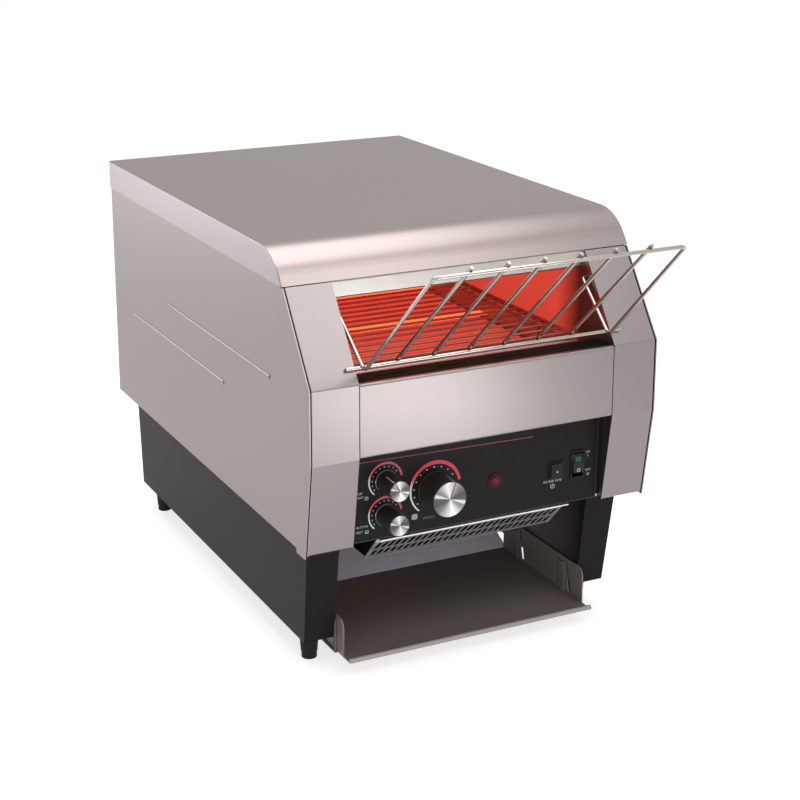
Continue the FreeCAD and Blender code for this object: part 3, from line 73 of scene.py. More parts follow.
speed_place = (-47.5, 40.6)
top_heat_place = (-99.1, 57.6)
bottom_heat_place = (-99.1, 23.9)
lamp_place = (17.1, 37.9)
save_dot_place = (85.0, 35.4)
rocker_place = (109.2, 38.8)
screw_place = (133.0, 2.4)
speed_radius = 17.5
heat_radius = 10.3
lens_reach = 7.5
knob_length = 30.5
knob_cap_depth = 2.2
save_face = 3.19

# Camera at the photograph's viewing angle, for an image of 800 by 800

image_size = 800
camera_place = Vector((-0.7625, front_y - 1.3154, 0.7751))
camera_yaw = math.radians(25.7)
camera_pitch = math.radians(-15.7)
camera_roll = math.radians(0.2)
focal_pixels = 1731.5
centre_pixel = (364.2, 310.7)
sensor_width = 36.0


def make_camera():
    data = bpy.data.cameras.new("camera")
    camera = bpy.data.objects.new("camera", data)
    bpy.context.scene.collection.objects.link(camera)
    data.sensor_width = sensor_width
    data.lens = sensor_width * focal_pixels / image_size
    data.shift_x = (image_size / 2 - centre_pixel[0]) / image_size
    data.shift_y = (centre_pixel[1] - image_size / 2) / image_size
    data.clip_start = 0.05
    data.clip_end = 30
    upright = Matrix.Rotation(math.radians(90) + camera_pitch, 4, "X")
    roll = Matrix.Rotation(-camera_roll, 4, "Z")
    yaw = Matrix.Rotation(-camera_yaw, 4, "Z")
    camera.matrix_world = Matrix.Translation(camera_place) @ yaw @ upright @ roll
    bpy.context.scene.camera = camera


make_camera()

# Material helpers

across_grain = (60.0, 2200.0, 2200.0)
upright_grain = (2200.0, 2200.0, 60.0)
lengthwise_grain = (2200.0, 60.0, 2200.0)
even_grain = (500.0, 500.0, 500.0)


def new_material(name, color, metallic, roughness):
    material = bpy.data.materials.new(name)
    material.use_nodes = True
    shader = material.node_tree.nodes["Principled BSDF"]
    shader.inputs["Base Color"].default_value = (*color, 1)
    shader.inputs["Metallic"].default_value = metallic
    shader.inputs["Roughness"].default_value = roughness
    return material, material.node_tree, shader


def object_noise(tree, scale, stretch, detail=3.0):
    """Noise laid over the object, stretched along its grain."""
    place = tree.nodes.new("ShaderNodeTexCoord")
    mapping = tree.nodes.new("ShaderNodeMapping")
    mapping.inputs["Scale"].default_value = stretch
    noise = tree.nodes.new("ShaderNodeTexNoise")
    noise.inputs["Scale"].default_value = scale
    noise.inputs["Detail"].default_value = detail
    tree.links.new(place.outputs["Object"], mapping.inputs["Vector"])
    tree.links.new(mapping.outputs["Vector"], noise.inputs["Vector"])
    return noise.outputs["Fac"]


def color_steps(tree, value, steps):
    """Colours along a value, each step a place and a colour."""
    ramp = tree.nodes.new("ShaderNodeValToRGB")
    stops = ramp.color_ramp.elements
    while len(stops) < len(steps):
        stops.new(0.5)
    for stop, (place, color) in zip(stops, steps):
        stop.position = place
        stop.color = (*color, 1)
    tree.links.new(value, ramp.inputs["Fac"])
    return ramp.outputs["Color"]


def vary_color(tree, shader, value, dark, light):
    shade = color_steps(tree, value, [(0.3, dark), (0.7, light)])
    tree.links.new(shade, shader.inputs["Base Color"])


def span(tree, value, from_low, from_high, to_low, to_high):
    """A value carried from one range to another, and held at its ends."""
    node = tree.nodes.new("ShaderNodeMapRange")
    node.inputs["From Min"].default_value = from_low
    node.inputs["From Max"].default_value = from_high
    node.inputs["To Min"].default_value = to_low
    node.inputs["To Max"].default_value = to_high
    tree.links.new(value, node.inputs["Value"])
    return node.outputs["Result"]


def combine(tree, operation, first, second):
    node = tree.nodes.new("ShaderNodeMath")
    node.operation = operation
    tree.links.new(first, node.inputs[0])
    if isinstance(second, float):
        node.inputs[1].default_value = second
    else:
        tree.links.new(second, node.inputs[1])
    return node.outputs["Value"]


def vary_roughness(tree, shader, value, low, high):
    tree.links.new(span(tree, value, 0.0, 1.0, low, high), shader.inputs["Roughness"])


def add_bump(tree, shader, value, strength, distance):
    bump = tree.nodes.new("ShaderNodeBump")
    bump.inputs["Strength"].default_value = strength
    bump.inputs["Distance"].default_value = distance
    tree.links.new(value, bump.inputs["Height"])
    tree.links.new(bump.outputs["Normal"], shader.inputs["Normal"])


def axis_values(tree):
    """The object's own x, y and z at each point."""
    place = tree.nodes.new("ShaderNodeTexCoord")
    parts = tree.nodes.new("ShaderNodeSeparateXYZ")
    tree.links.new(place.outputs["Object"], parts.inputs["Vector"])
    return parts.outputs["X"], parts.outputs["Y"], parts.outputs["Z"]


def between(tree, value, low, high, soft):
    """One where a value lies between two limits, fading over a soft edge."""
    rise = span(tree, value, low - soft, low + soft, 0.0, 1.0)
    fall = span(tree, value, high - soft, high + soft, 1.0, 0.0)
    return combine(tree, "MULTIPLY", rise, fall)


def mix_colors(tree, share, first, second, kind="MIX"):
    """Two colours blended by a value, or multiplied where the value is one."""
    node = tree.nodes.new("ShaderNodeMix")
    node.data_type = "RGBA"
    node.blend_type = kind
    if isinstance(share, float):
        node.inputs["Factor"].default_value = share
    else:
        tree.links.new(share, node.inputs["Factor"])
    for color, name in ((first, "A"), (second, "B")):
        socket = [i for i in node.inputs if i.name == name and i.type == "RGBA"][0]
        if isinstance(color, tuple):
            socket.default_value = (*color, 1)
        else:
            tree.links.new(color, socket)
    return [o for o in node.outputs if o.type == "RGBA"][0]


def shades(tree, value, color, spread):
    """A colour varied a little darker and lighter by a noise."""
    dark = tuple(c * (1 - spread) for c in color)
    light = tuple(c * (1 + spread) for c in color)
    return color_steps(tree, value, [(0.3, dark), (0.7, light)])


def brushed_metal(
    name, color, roughness, grain, spread=0.04, edge=1.0, metallic=1.0, painted_light_color=None, share=None
):
    """Sheet metal brushed along its grain, and where asked with a second, lighter colour that
    paints light onto part of it.
    """
    material, tree, shader = new_material(name, color, metallic, roughness)
    brushing = object_noise(tree, 1.0, grain, 4.0)
    sheet = shades(tree, brushing, color, spread)
    if painted_light_color:
        sheet = mix_colors(tree, share(tree), sheet, shades(tree, brushing, painted_light_color, spread))
    tree.links.new(sheet, shader.inputs["Base Color"])
    vary_roughness(tree, shader, brushing, roughness - 0.04, roughness + 0.06)
    add_bump(tree, shader, brushing, 0.05, 0.0002)
    shader.inputs["Specular Tint"].default_value = (edge, edge, edge, 1)
    return material


def side_flanges_painted_light(tree):
    """One on the cover's two side flanges, which get a painted lighter colour."""
    across = axis_values(tree)[0]
    return span(tree, combine(tree, "ABSOLUTE", across, 0.0), flange_from, flange_to, 0.0, 1.0)


def guard_edge_painted_highlight(tree):
    """One along the guard's bent upper edge, where a lighter colour paints a highlight."""
    height = axis_values(tree)[2]
    return span(tree, height, guard_edge_from, guard_edge_to, 0.0, 1.0)


def coated_metal(name, color, roughness, speckle=900.0, shine=0.2, painted_light_color=None, share=None):
    """Powder-coated sheet with a fine orange-peel surface, and where asked a second, lighter colour
    that paints light onto part of it.
    """
    material, tree, shader = new_material(name, color, 0.0, roughness)
    peel = object_noise(tree, speckle, (1, 1, 1))
    coat = shades(tree, peel, color, 0.15)
    if painted_light_color:
        coat = mix_colors(tree, share(tree), coat, shades(tree, peel, painted_light_color, 0.1))
    tree.links.new(coat, shader.inputs["Base Color"])
    add_bump(tree, shader, peel, 0.15, 0.0002)
    shader.inputs["Specular IOR Level"].default_value = shine
    return material


def inner_faces_painted_light(tree):
    """One on the pedestals' faces towards the tray, away from their front edge, where a lighter
    colour paints light.
    """
    across, along = axis_values(tree)[:2]
    off_middle = combine(tree, "ABSOLUTE", across, 0.0)
    inner = span(tree, off_middle, inner_face_from, inner_face_to, 1.0, 0.0)
    behind = span(tree, along, pedestal_from, pedestal_to, 0.0, 1.0)
    return combine(tree, "MULTIPLY", inner, behind)


def tray_lip_painted_highlight(tree):
    """One on the rolled lip along the tray's front, where a lighter colour paints a highlight."""
    along = axis_values(tree)[1]
    return span(tree, along, lip_from, lip_to, 1.0, 0.0)


def moulded(name, color, roughness, grain=1500.0, shine=0.25):
    """Moulded plastic or rubber with a faint matte grain."""
    material, tree, shader = new_material(name, color, 0.0, roughness)
    shader.inputs["Specular IOR Level"].default_value = shine
    pores = object_noise(tree, grain, (1, 1, 1))
    vary_color(tree, shader, pores, tuple(c * 0.9 for c in color), tuple(c * 1.1 for c in color))
    add_bump(tree, shader, pores, 0.08, 0.0001)
    return material


def facing_inside(tree):
    """One on faces that look towards the middle of the toasting space, where the reflectors get
    their painted glow.
    """
    place = tree.nodes.new("ShaderNodeTexCoord")
    ahead = tree.nodes.new("ShaderNodeVectorMath")
    ahead.operation = "SUBTRACT"
    ahead.inputs[0].default_value = heat_middle
    facing = tree.nodes.new("ShaderNodeVectorMath")
    facing.operation = "DOT_PRODUCT"
    tree.links.new(place.outputs["Object"], ahead.inputs[1])
    tree.links.new(ahead.outputs["Vector"], facing.inputs[0])
    tree.links.new(place.outputs["Normal"], facing.inputs[1])
    return span(tree, facing.outputs["Value"], 0.0, 0.002, 0.0, 1.0)


def heat_or_painted_glow(name, color, glow, strength, metallic=0.6, where=None):
    """Metal that glows: the heating tubes with their own heat, other sheets with a painted red glow
    standing for the tubes' light, all over or on some of its faces.
    """
    material, tree, shader = new_material(name, color, metallic, 0.5)
    patches = object_noise(tree, 40.0, (1, 1, 1))
    vary_color(tree, shader, patches, tuple(c * 0.8 for c in color), tuple(c * 1.2 for c in color))
    shader.inputs["Emission Color"].default_value = (*glow, 1)
    shader.inputs["Emission Strength"].default_value = strength
    # Where asked, the painted glow falls only on some faces
    if where:
        heat = span(tree, where(tree), 0.0, 1.0, 0.0, strength)
        tree.links.new(heat, shader.inputs["Emission Strength"])
    return material


def inner_wall_painted_glow(name, color, glow, strength):
    """The inner side sheets: dark, with a painted red glow, standing for the tubes' light, only
    between the two rows of heating tubes.
    """
    material, tree, shader = new_material(name, color, 0.9, 0.42)
    grain = object_noise(tree, 1.0, lengthwise_grain, 4.0)
    vary_color(tree, shader, grain, tuple(c * 0.9 for c in color), tuple(c * 1.1 for c in color))
    across, along, height = axis_values(tree)
    inside = between(tree, across, -heat_half_width, heat_half_width, 0.0001)
    level = between(tree, height, heat_foot, heat_top, 0.012)
    depth = between(tree, along, heat_front, heat_back, 0.02)
    # Mask of the painted red glow
    heat = combine(tree, "MULTIPLY", combine(tree, "MULTIPLY", inside, level), depth)
    shader.inputs["Emission Color"].default_value = (*glow, 1)
    tree.links.new(span(tree, heat, 0.0, 1.0, 0.0, strength), shader.inputs["Emission Strength"])
    return material


def about_axis(tree, u, v):
    """Clock share from twelve, and radius, about an axis square to the control panel."""
    centre = panel_plane @ Vector((u * mm, 0, v * mm))
    place = tree.nodes.new("ShaderNodeTexCoord")
    moved = tree.nodes.new("ShaderNodeMapping")
    moved.vector_type = "TEXTURE"
    moved.inputs["Location"].default_value = centre
    parts = tree.nodes.new("ShaderNodeSeparateXYZ")
    tree.links.new(place.outputs["Object"], moved.inputs["Vector"])
    tree.links.new(moved.outputs["Vector"], parts.inputs["Vector"])
    across, up = parts.outputs["X"], parts.outputs["Z"]
    turn = combine(tree, "ARCTAN2", across, up)
    wound = combine(tree, "ADD", combine(tree, "DIVIDE", turn, math.tau), 1.0)
    share = combine(tree, "MODULO", wound, 1.0)
    across_squared = combine(tree, "MULTIPLY", across, across)
    up_squared = combine(tree, "MULTIPLY", up, up)
    square = combine(tree, "ADD", across_squared, up_squared)
    return share, combine(tree, "POWER", square, 0.5)


def spun_face_painted_fans(name, place):
    """A spun aluminium face: fine rings about its axis, with two broad fans and two narrow ones of
    painted highlight.
    """
    material, tree, shader = new_material(name, (0.5, 0.5, 0.5), 1.0, 0.3)
    share, radius = about_axis(tree, *place)
    half_turn = combine(tree, "MODULO", combine(tree, "MULTIPLY", share, 2.0), 1.0)
    # Painted highlights: the fans' brightness by clock share stands for the spun face's reflection
    broad_painted_fan = [(0.0, 0.55), (0.12, 0.33), (0.25, 0.17), (0.40, 0.085), (0.55, 0.10)]
    narrow_painted_fan = [(0.595, 0.60), (0.62, 0.60), (0.665, 0.17)]
    next_painted_fan = [(0.75, 0.28), (0.83, 0.47), (0.92, 0.68), (1.0, 0.55)]
    steps = [(at, (b, b * 0.975, b * 0.97)) for at, b in broad_painted_fan + narrow_painted_fan + next_painted_fan]
    fan = color_steps(tree, half_turn, steps)
    ring = tree.nodes.new("ShaderNodeTexNoise")
    ring.noise_dimensions = "1D"
    ring.inputs["Scale"].default_value = 2500.0
    tree.links.new(radius, ring.inputs["W"])
    shade = color_steps(tree, ring.outputs["Fac"], [(0.3, (0.8, 0.8, 0.8)), (0.7, (1.0, 1.0, 1.0))])
    tree.links.new(mix_colors(tree, 1.0, fan, shade, "MULTIPLY"), shader.inputs["Base Color"])
    add_bump(tree, shader, ring.outputs["Fac"], 0.2, 0.0001)
    return material


def ringed_glass(name, place):
    """Dark red lens glass, deeper in its outer ring, with painted shade in the groove between."""
    material, tree, shader = new_material(name, (0.14, 0.008, 0.010), 0.0, 0.22)
    radius = about_axis(tree, *place)[1]
    # The groove's near-black colour is painted shade
    inner, groove_shade, outer = (0.13, 0.007, 0.010), (0.025, 0.002, 0.003), (0.075, 0.006, 0.008)
    steps = [(0.0, inner), (0.60, inner), (0.63, groove_shade), (0.68, groove_shade), (0.71, outer)]
    steps += [(1.0, outer)]
    color = color_steps(tree, span(tree, radius, 0.0, lens_reach * mm, 0.0, 1.0), steps)
    tree.links.new(color, shader.inputs["Base Color"])
    shader.inputs["Specular IOR Level"].default_value = 0.2
    return material


def scale_ink(name, place, end_color):
    """Printing that runs from white, low on the left, to red past the top of the dial."""
    material, tree, shader = new_material(name, (0.8, 0.8, 0.75), 0.0, 0.5)
    share = about_axis(tree, *place)[0]
    white, salmon = (0.75, 0.75, 0.72), (0.73, 0.14, 0.11)
    steps = [(0.0, end_color), (0.3, end_color), (0.45, white), (0.775, white), (0.82, salmon)]
    steps += [(0.89, end_color), (1.0, end_color)]
    tree.links.new(color_steps(tree, share, steps), shader.inputs["Base Color"])
    return material


def ink(name, color):
    """Flat printing ink, slightly uneven; also used for the painted highlight along the panel's
    edge.
    """
    material, tree, shader = new_material(name, color, 0.0, 0.5)
    worn = object_noise(tree, 700.0, (1, 1, 1))
    vary_color(tree, shader, worn, tuple(c * 0.85 for c in color), color)
    return material


# Finishes

# The top, front and side are one steel; their colours differ as painted light and shade, the front
# darker and the side lighter.
stainless_top = brushed_metal(
    "stainless_top",
    (0.29, 0.248, 0.238),
    0.31,
    across_grain,
    edge=0.72,
    # painted light: the side flanges lighter than the top
    painted_light_color=(0.40, 0.36, 0.365),
    share=side_flanges_painted_light,
)
stainless_front = brushed_metal("stainless_front", (0.262, 0.233, 0.232), 0.33, upright_grain, 0.03)
stainless_side = brushed_metal(
    "stainless_side", (0.298, 0.259, 0.253), 0.34, lengthwise_grain, 0.03, 0.8
)
bright_sheet = brushed_metal("bright_sheet", (0.48, 0.45, 0.43), 0.30, across_grain)
# The chute's near-white colour, without metal, is painted light on the steel ramp
chute_painted_light = brushed_metal("chute_painted_light", (0.90, 0.82, 0.93), 0.45, across_grain, 0.05, 1.0, 0.0)
guard_sheet = brushed_metal(
    "guard_sheet",
    (0.36, 0.34, 0.35),
    0.36,
    across_grain,
    0.05,
    metallic=0.4,
    # painted highlight on the guard's upper edge
    painted_light_color=(0.85, 0.83, 0.85),
    share=guard_edge_painted_highlight,
)
shelf_sheet = brushed_metal("shelf_sheet", (0.30, 0.29, 0.29), 0.35, across_grain)
bar_steel = brushed_metal("bar_steel", (0.30, 0.27, 0.27), 0.35, across_grain)
gear_steel = brushed_metal("gear_steel", (0.35, 0.35, 0.35), 0.4, across_grain)
bronze = brushed_metal("bearing_bronze", (0.50, 0.34, 0.16), 0.35, across_grain)
screw_steel = brushed_metal("screw_steel", (0.45, 0.44, 0.44), 0.3, across_grain)
chrome_rod = brushed_metal("chrome_rod", (0.42, 0.375, 0.34), 0.14, even_grain, 0.1)
pedestal_black = (0.016, 0.0145, 0.0125)
# The pedestals' faces towards the tray get a lighter colour: painted light.
base_coat = coated_metal(
    "base_coat", pedestal_black, 0.4, 900.0, 0.05, (0.20, 0.15, 0.165), inner_faces_painted_light
)
rear_coat = coated_metal("rear_coat", pedestal_black, 0.4, 900.0, 0.05)
housing_coat = coated_metal("housing_coat", (0.006, 0.006, 0.006), 0.5, 900.0, 0.05)
ledge_coat = coated_metal("ledge_coat", (0.006, 0.010, 0.008), 0.4, 900.0, 0.01)
# The tray's rolled lip gets a lighter colour: a painted highlight.
tray_coat = coated_metal(
    "tray_coat", (0.21, 0.178, 0.16), 0.3, 900.0, 0.4, (0.34, 0.32, 0.31), tray_lip_painted_highlight
)
panel_coat = coated_metal("panel_coat", (0.0135, 0.0125, 0.012), 0.35, 400.0, 0.08)
black_plastic = moulded("black_plastic", (0.014, 0.014, 0.013), 0.42, 1500.0, 0.15)
gloss_black = moulded("gloss_black", (0.008, 0.008, 0.009), 0.2, 1500.0, 0.25)
knob_black = moulded("knob_black", (0.017, 0.018, 0.015), 0.42, 1500.0, 0.3)
skirt_gloss = moulded("skirt_gloss", (0.012, 0.013, 0.012), 0.14, 1500.0, 0.7)
rubber = moulded("foot_rubber", (0.014, 0.014, 0.014), 0.6, 700.0, 0.15)
ceramic = moulded("ceramic", (0.60, 0.40, 0.32), 0.8, 500.0)
terminal_cream = moulded("terminal_cream", (0.7, 0.68, 0.62), 0.5)
motor_enamel = coated_metal("motor_enamel", (0.12, 0.12, 0.13), 0.5, 600.0)
lamp_collar = moulded("lamp_collar", (0.035, 0.006, 0.007), 0.25, 1500.0, 0.12)
lamp_glass = ringed_glass("lamp_glass", lamp_place)
window_green = moulded("window_green", (0.008, 0.14, 0.065), 0.25, 1500.0, 0.15)
white_ink = ink("white_ink", (0.66, 0.66, 0.64))
word_ink = ink("word_ink", (0.44, 0.44, 0.43))
# painted highlight along the panel overlay's edge
edge_highlight_ink = ink("edge_highlight_ink", (0.05, 0.05, 0.05))
lavender_ink = ink("lavender_ink", (0.34, 0.31, 0.40))
faint_ink = ink("faint_ink", (0.11, 0.11, 0.11))
red_ink = ink("red_ink", (0.20, 0.010, 0.016))
black_ink = ink("black_ink", (0.01, 0.01, 0.01))
# The heating tubes glow with their own heat; the reflectors and the belt get a painted red glow
# standing for the tubes' light.
heater = heat_or_painted_glow("heater", (0.20, 0.05, 0.03), (1.0, 0.15, 0.055), 1.6)
painted_glow_sheet = heat_or_painted_glow(
    "painted_glow_sheet", (0.25, 0.09, 0.075), (1.0, 0.085, 0.06), 0.6, 0.9, facing_inside
)
belt_painted_glow = heat_or_painted_glow("belt_painted_glow", (0.26, 0.15, 0.12), (1.0, 0.08, 0.04), 0.10, 0.9)
wall_painted_glow = inner_wall_painted_glow("wall_painted_glow", (0.12, 0.11, 0.115), (1.0, 0.085, 0.053), 0.6)

finishes = {
    stainless_top: ["top_cover"],
    stainless_front: ["left_cheek", "right_cheek", "front_panel", "back_panel"],
    stainless_side: ["left_side_panel", "right_side_panel"],
    bright_sheet: ["feed_lintel"],
    shelf_sheet: ["component_shelf"],
    chute_painted_light: ["toast_chute"],
    guard_sheet: ["mesh_guard"],
    painted_glow_sheet: ["top_reflector", "bottom_reflector", "rear_deflector"],
    wall_painted_glow: ["left_side_frame", "right_side_frame"],
    bar_steel: ["belt_guides", "front_shaft", "rear_shaft", "front_drum", "rear_drum"],
    gear_steel: ["driven_gear", "motor_pinion"],
    bronze: ["shaft_bearings"],
    base_coat: ["left_base", "right_base"],
    rear_coat: ["rear_base_panel"],
    housing_coat: ["control_housing"],
    ledge_coat: ["loading_ledge"],
    tray_coat: ["discharge_tray", "left_tray_rail", "right_tray_rail"],
    panel_coat: ["control_panel"],
    black_plastic: [
        "control_bodies",
        "switch_housings",
        "power_save_button",
        "fan_frame",
        "fan_rotor",
        "cord_gland",
        "speed_knob",
        "top_heat_knob",
        "bottom_heat_knob",
    ],
    gloss_black: ["power_switch_rocker"],
    rubber: ["rubber_feet"],
    ceramic: ["element_holders"],
    terminal_cream: ["terminal_block"],
    motor_enamel: ["drive_motor"],
    lamp_glass: ["indicator_lamp"],
    chrome_rod: ["feed_rack"],
    screw_steel: ["speed_knob_cap", "top_heat_knob_cap", "bottom_heat_knob_cap"],
    heater: ["top_heating_tubes", "bottom_heating_tubes"],
    belt_painted_glow: ["belt_wires", "left_belt_chain", "right_belt_chain"],
}
for material, names in finishes.items():
    for name in names:
        mesh = nodes[name].data
        mesh.materials.clear()
        mesh.materials.append(material)

# Working on the piece in hand


def clear():
    """Leave nothing selected before a new piece."""
    if bpy.context.object and bpy.context.object.mode == "EDIT":
        bpy.ops.object.mode_set(mode="OBJECT")
    bpy.ops.object.select_all(action="DESELECT")


def open_up():
    """Start shaping the piece in hand, all of it selected."""
    bpy.ops.object.mode_set(mode="EDIT")
    bpy.ops.mesh.select_mode(type="VERT")
    bpy.ops.mesh.select_all(action="SELECT")


def choose(kind, wanted):
    """Select the corners, edges or faces that a test holds for."""
    bpy.ops.mesh.select_mode(type=kind)
    bpy.ops.mesh.select_all(action="DESELECT")
    shape = bmesh.from_edit_mesh(bpy.context.object.data)
    parts = {"VERT": shape.verts, "EDGE": shape.edges, "FACE": shape.faces}[kind]
    for part in parts:
        if wanted(part):
            part.select_set(True)
    bmesh.update_edit_mesh(bpy.context.object.data)


def thicken(height):
    """Give the flat piece in hand its thickness, upwards along Z."""
    bpy.ops.mesh.select_all(action="SELECT")
    bpy.ops.mesh.extrude_region_move(TRANSFORM_OT_translate={"value": (0, 0, height * mm)})


def settle(name, place, material, body="toaster"):
    """Close the piece in hand, write its place into its mesh, and give it its finish and body."""
    if bpy.context.object.mode == "EDIT":
        bpy.ops.mesh.select_mode(type="VERT")
        bpy.ops.mesh.select_all(action="SELECT")
        bpy.ops.mesh.normals_make_consistent(inside=False)
        bpy.ops.object.mode_set(mode="OBJECT")
    piece = bpy.context.object
    piece.name = name
    piece.data.name = name
    piece.matrix_world = place
    bpy.ops.object.transform_apply(location=True, rotation=True, scale=True)
    bpy.ops.object.shade_smooth_by_angle(angle=math.radians(32))
    piece.data.materials.clear()
    piece.data.materials.append(material)
    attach(piece, body)
    return piece


def turned(profile, sides=48):
    """A solid turned about Z through steps of radius and height, in millimetres."""
    clear()
    radius, height = profile[0]
    bpy.ops.mesh.primitive_circle_add(
        vertices=sides, radius=radius * mm, fill_type="NGON", location=(0, 0, 0)
    )
    open_up()
    bpy.ops.transform.translate(value=(0, 0, height * mm))
    for next_radius, next_height in profile[1:]:
        rise = (next_height - height) * mm
        bpy.ops.mesh.extrude_region_move(TRANSFORM_OT_translate={"value": (0, 0, rise)})
        ratio = next_radius / radius
        bpy.ops.transform.resize(value=(ratio, ratio, 1))
        radius, height = next_radius, next_height


def bar(width, length, height, corner):
    """A flat bar with rounded corners, its foot at Z = 0, in millimetres."""
    clear()
    bpy.ops.mesh.primitive_plane_add(size=mm, location=(0, 0, 0))
    open_up()
    bpy.ops.transform.resize(value=(width, length, 1))
    bpy.ops.mesh.bevel(offset=corner * mm, segments=3, affect="VERTICES")
    thicken(height)


def ring(outer, inner, height, sides=48, gap=0.0):
    """A flat ring, open over a gap in degrees at the top, in millimetres."""
    clear()
    bpy.ops.mesh.primitive_circle_add(
        vertices=sides, radius=outer * mm, fill_type="NOTHING", location=(0, 0, 0)
    )
    open_up()
    bpy.ops.mesh.extrude_edges_move(TRANSFORM_OT_translate={"value": (0, 0, 0)})
    bpy.ops.transform.resize(value=(inner / outer, inner / outer, 1))
    if gap:
        choose("FACE", lambda f: clock(f.calc_center_median(), 180) < gap / 2)
        bpy.ops.mesh.delete(type="FACE")
    thicken(height)


def clock(point, top=0.0):
    """Clockwise degrees from twelve, or how far from twelve where top is given."""
    angle = math.degrees(math.atan2(point.x, point.y)) % 360
    return min(angle, 360 - angle) if top else angle


def on_panel(u, v, out=0.0):
    """Where a piece made standing along Z sits, square on the control panel."""
    place = Matrix.Translation((u * mm, -out * mm, v * mm))
    return panel_plane @ place @ Matrix.Rotation(math.radians(90), 4, "X")


def about_z(degrees):
    return Matrix.Rotation(math.radians(degrees), 4, "Z")


def shift(x, y, z):
    return Matrix.Translation((x * mm, y * mm, z * mm))


# Knobs: smooth bodies, spun faces, pointers and skirts


def make_knob(node, body, place, radius, pointer, skirt):
    """One knob around its drawn body, with the pointer at clockwise degrees from twelve."""
    front = on_panel(*place)
    face_height = knob_length - knob_cap_depth
    rim = radius - 0.35
    turned(
        [
            (2.95, -11.9),
            (2.95, 1.6),
            (radius - 0.5, 1.6),
            (radius - 0.1, 2.0),
            (radius - 0.1, 4.2),
            (rim, 5.0),
            (rim - 0.1, face_height - 0.6),
            (rim - 0.5, face_height),
        ],
        64,
    )
    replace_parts(settle(node + "_body", front, knob_black, body), node)
    turned(
        [
            (rim - 0.6, face_height),
            (rim - 0.1, face_height + 0.3),
            (rim - 0.1, knob_length - 0.5),
            (rim - 0.6, knob_length - 0.05),
            (rim - 1.6, knob_length - 0.15),
        ],
        64,
    )
    face = spun_face_painted_fans(node + "_face", place)
    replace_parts(settle(node + "_face", front, face, body), node + "_cap")
    turned(
        [
            (radius - 1.0, 0.4),
            (radius + 0.9, 0.4),
            (radius + 1.1, 0.7),
            (radius + 0.9, 1.6),
            (radius - 0.6, 2.3),
        ],
        64,
    )
    settle(node + "_skirt", front, skirt, body)
    aim = front @ about_z(-pointer)
    bar(0.9, rim - 1.4, 0.12, 0.3)
    lying = shift(0, rim / 2, knob_length - 0.16)
    settle(node + "_pointer", aim @ lying, black_ink, body)
    reach = (face_height - 6.0) * 0.72
    bar(0.7, reach, 0.3, 0.2)
    beside = shift(0, rim - 0.25, face_height - 0.4 - reach / 2)
    upright = Matrix.Rotation(math.radians(-90), 4, "X")
    settle(node + "_mark", aim @ beside @ upright, white_ink, body)


make_knob("speed_knob", "speed_dial", speed_place, speed_radius, 19, gloss_black)
make_knob("top_heat_knob", "top_heat_dial", top_heat_place, heat_radius, -30, skirt_gloss)
make_knob("bottom_heat_knob", "bottom_heat_dial", bottom_heat_place, heat_radius, 42, skirt_gloss)

# Printed dial scales


def dial_arc(outer, inner, start, end):
    """A printed arc that widens along its way, between two circles given as (x, y, radius)."""
    clear()
    bpy.ops.mesh.primitive_circle_add(
        vertices=144, radius=outer[2] * mm, fill_type="NOTHING", location=(0, 0, 0)
    )
    open_up()
    bpy.ops.transform.translate(value=(outer[0] * mm, outer[1] * mm, 0))
    step = ((inner[0] - outer[0]) * mm, (inner[1] - outer[1]) * mm, 0)
    bpy.ops.mesh.extrude_edges_move(TRANSFORM_OT_translate={"value": step})
    ratio = inner[2] / outer[2]
    bpy.ops.transform.resize(value=(ratio, ratio, 1))
    choose("FACE", lambda f: end < clock(f.calc_center_median()) < start)
    bpy.ops.mesh.delete(type="FACE")
    thicken(0.08)


def dial_dots(ring_radius, dot_radius, first, step, count):
    """Printed dots evenly along a circle, clockwise from the first."""
    clear()
    bpy.ops.mesh.primitive_circle_add(
        vertices=16, radius=dot_radius * mm, fill_type="NGON", location=(0, 0, 0)
    )
    open_up()
    places = []
    for index in range(count):
        angle = math.radians(first + step * index)
        places.append(Vector((math.sin(angle), math.cos(angle), 0)) * ring_radius * mm)
    bpy.ops.transform.translate(value=places[0])
    for here, there in zip(places, places[1:]):
        bpy.ops.mesh.duplicate_move(TRANSFORM_OT_translate={"value": there - here})
    thicken(0.08)


speed_ink = scale_ink("speed_ink", speed_place, (0.66, 0.022, 0.065))
top_ink = scale_ink("top_ink", top_heat_place, (0.50, 0.07, 0.07))
bottom_ink = scale_ink("bottom_ink", bottom_heat_place, (0.50, 0.07, 0.07))

dial_arc((0.6, 0.9, 27.2), (0.5, -0.4, 24.9), 220, 80)
settle("speed_arc", on_panel(*speed_place), speed_ink)
dial_dots(21.8, 0.72, 235, 20.4, 10)
settle("speed_dots", on_panel(*speed_place), white_ink)
for name, place, dial_ink in (
    ("top_heat", top_heat_place, top_ink),
    ("bottom_heat", bottom_heat_place, bottom_ink),
):
    dial_arc((0.15, 0.65, 17.7), (-0.1, 0.0, 16.0), 223, 82)
    settle(name + "_arc", on_panel(*place), dial_ink)
    dial_dots(13.7, 0.55, 235, 20.0, 10)
    settle(name + "_dots", on_panel(*place), white_ink)

# Lamp, button and rocker details


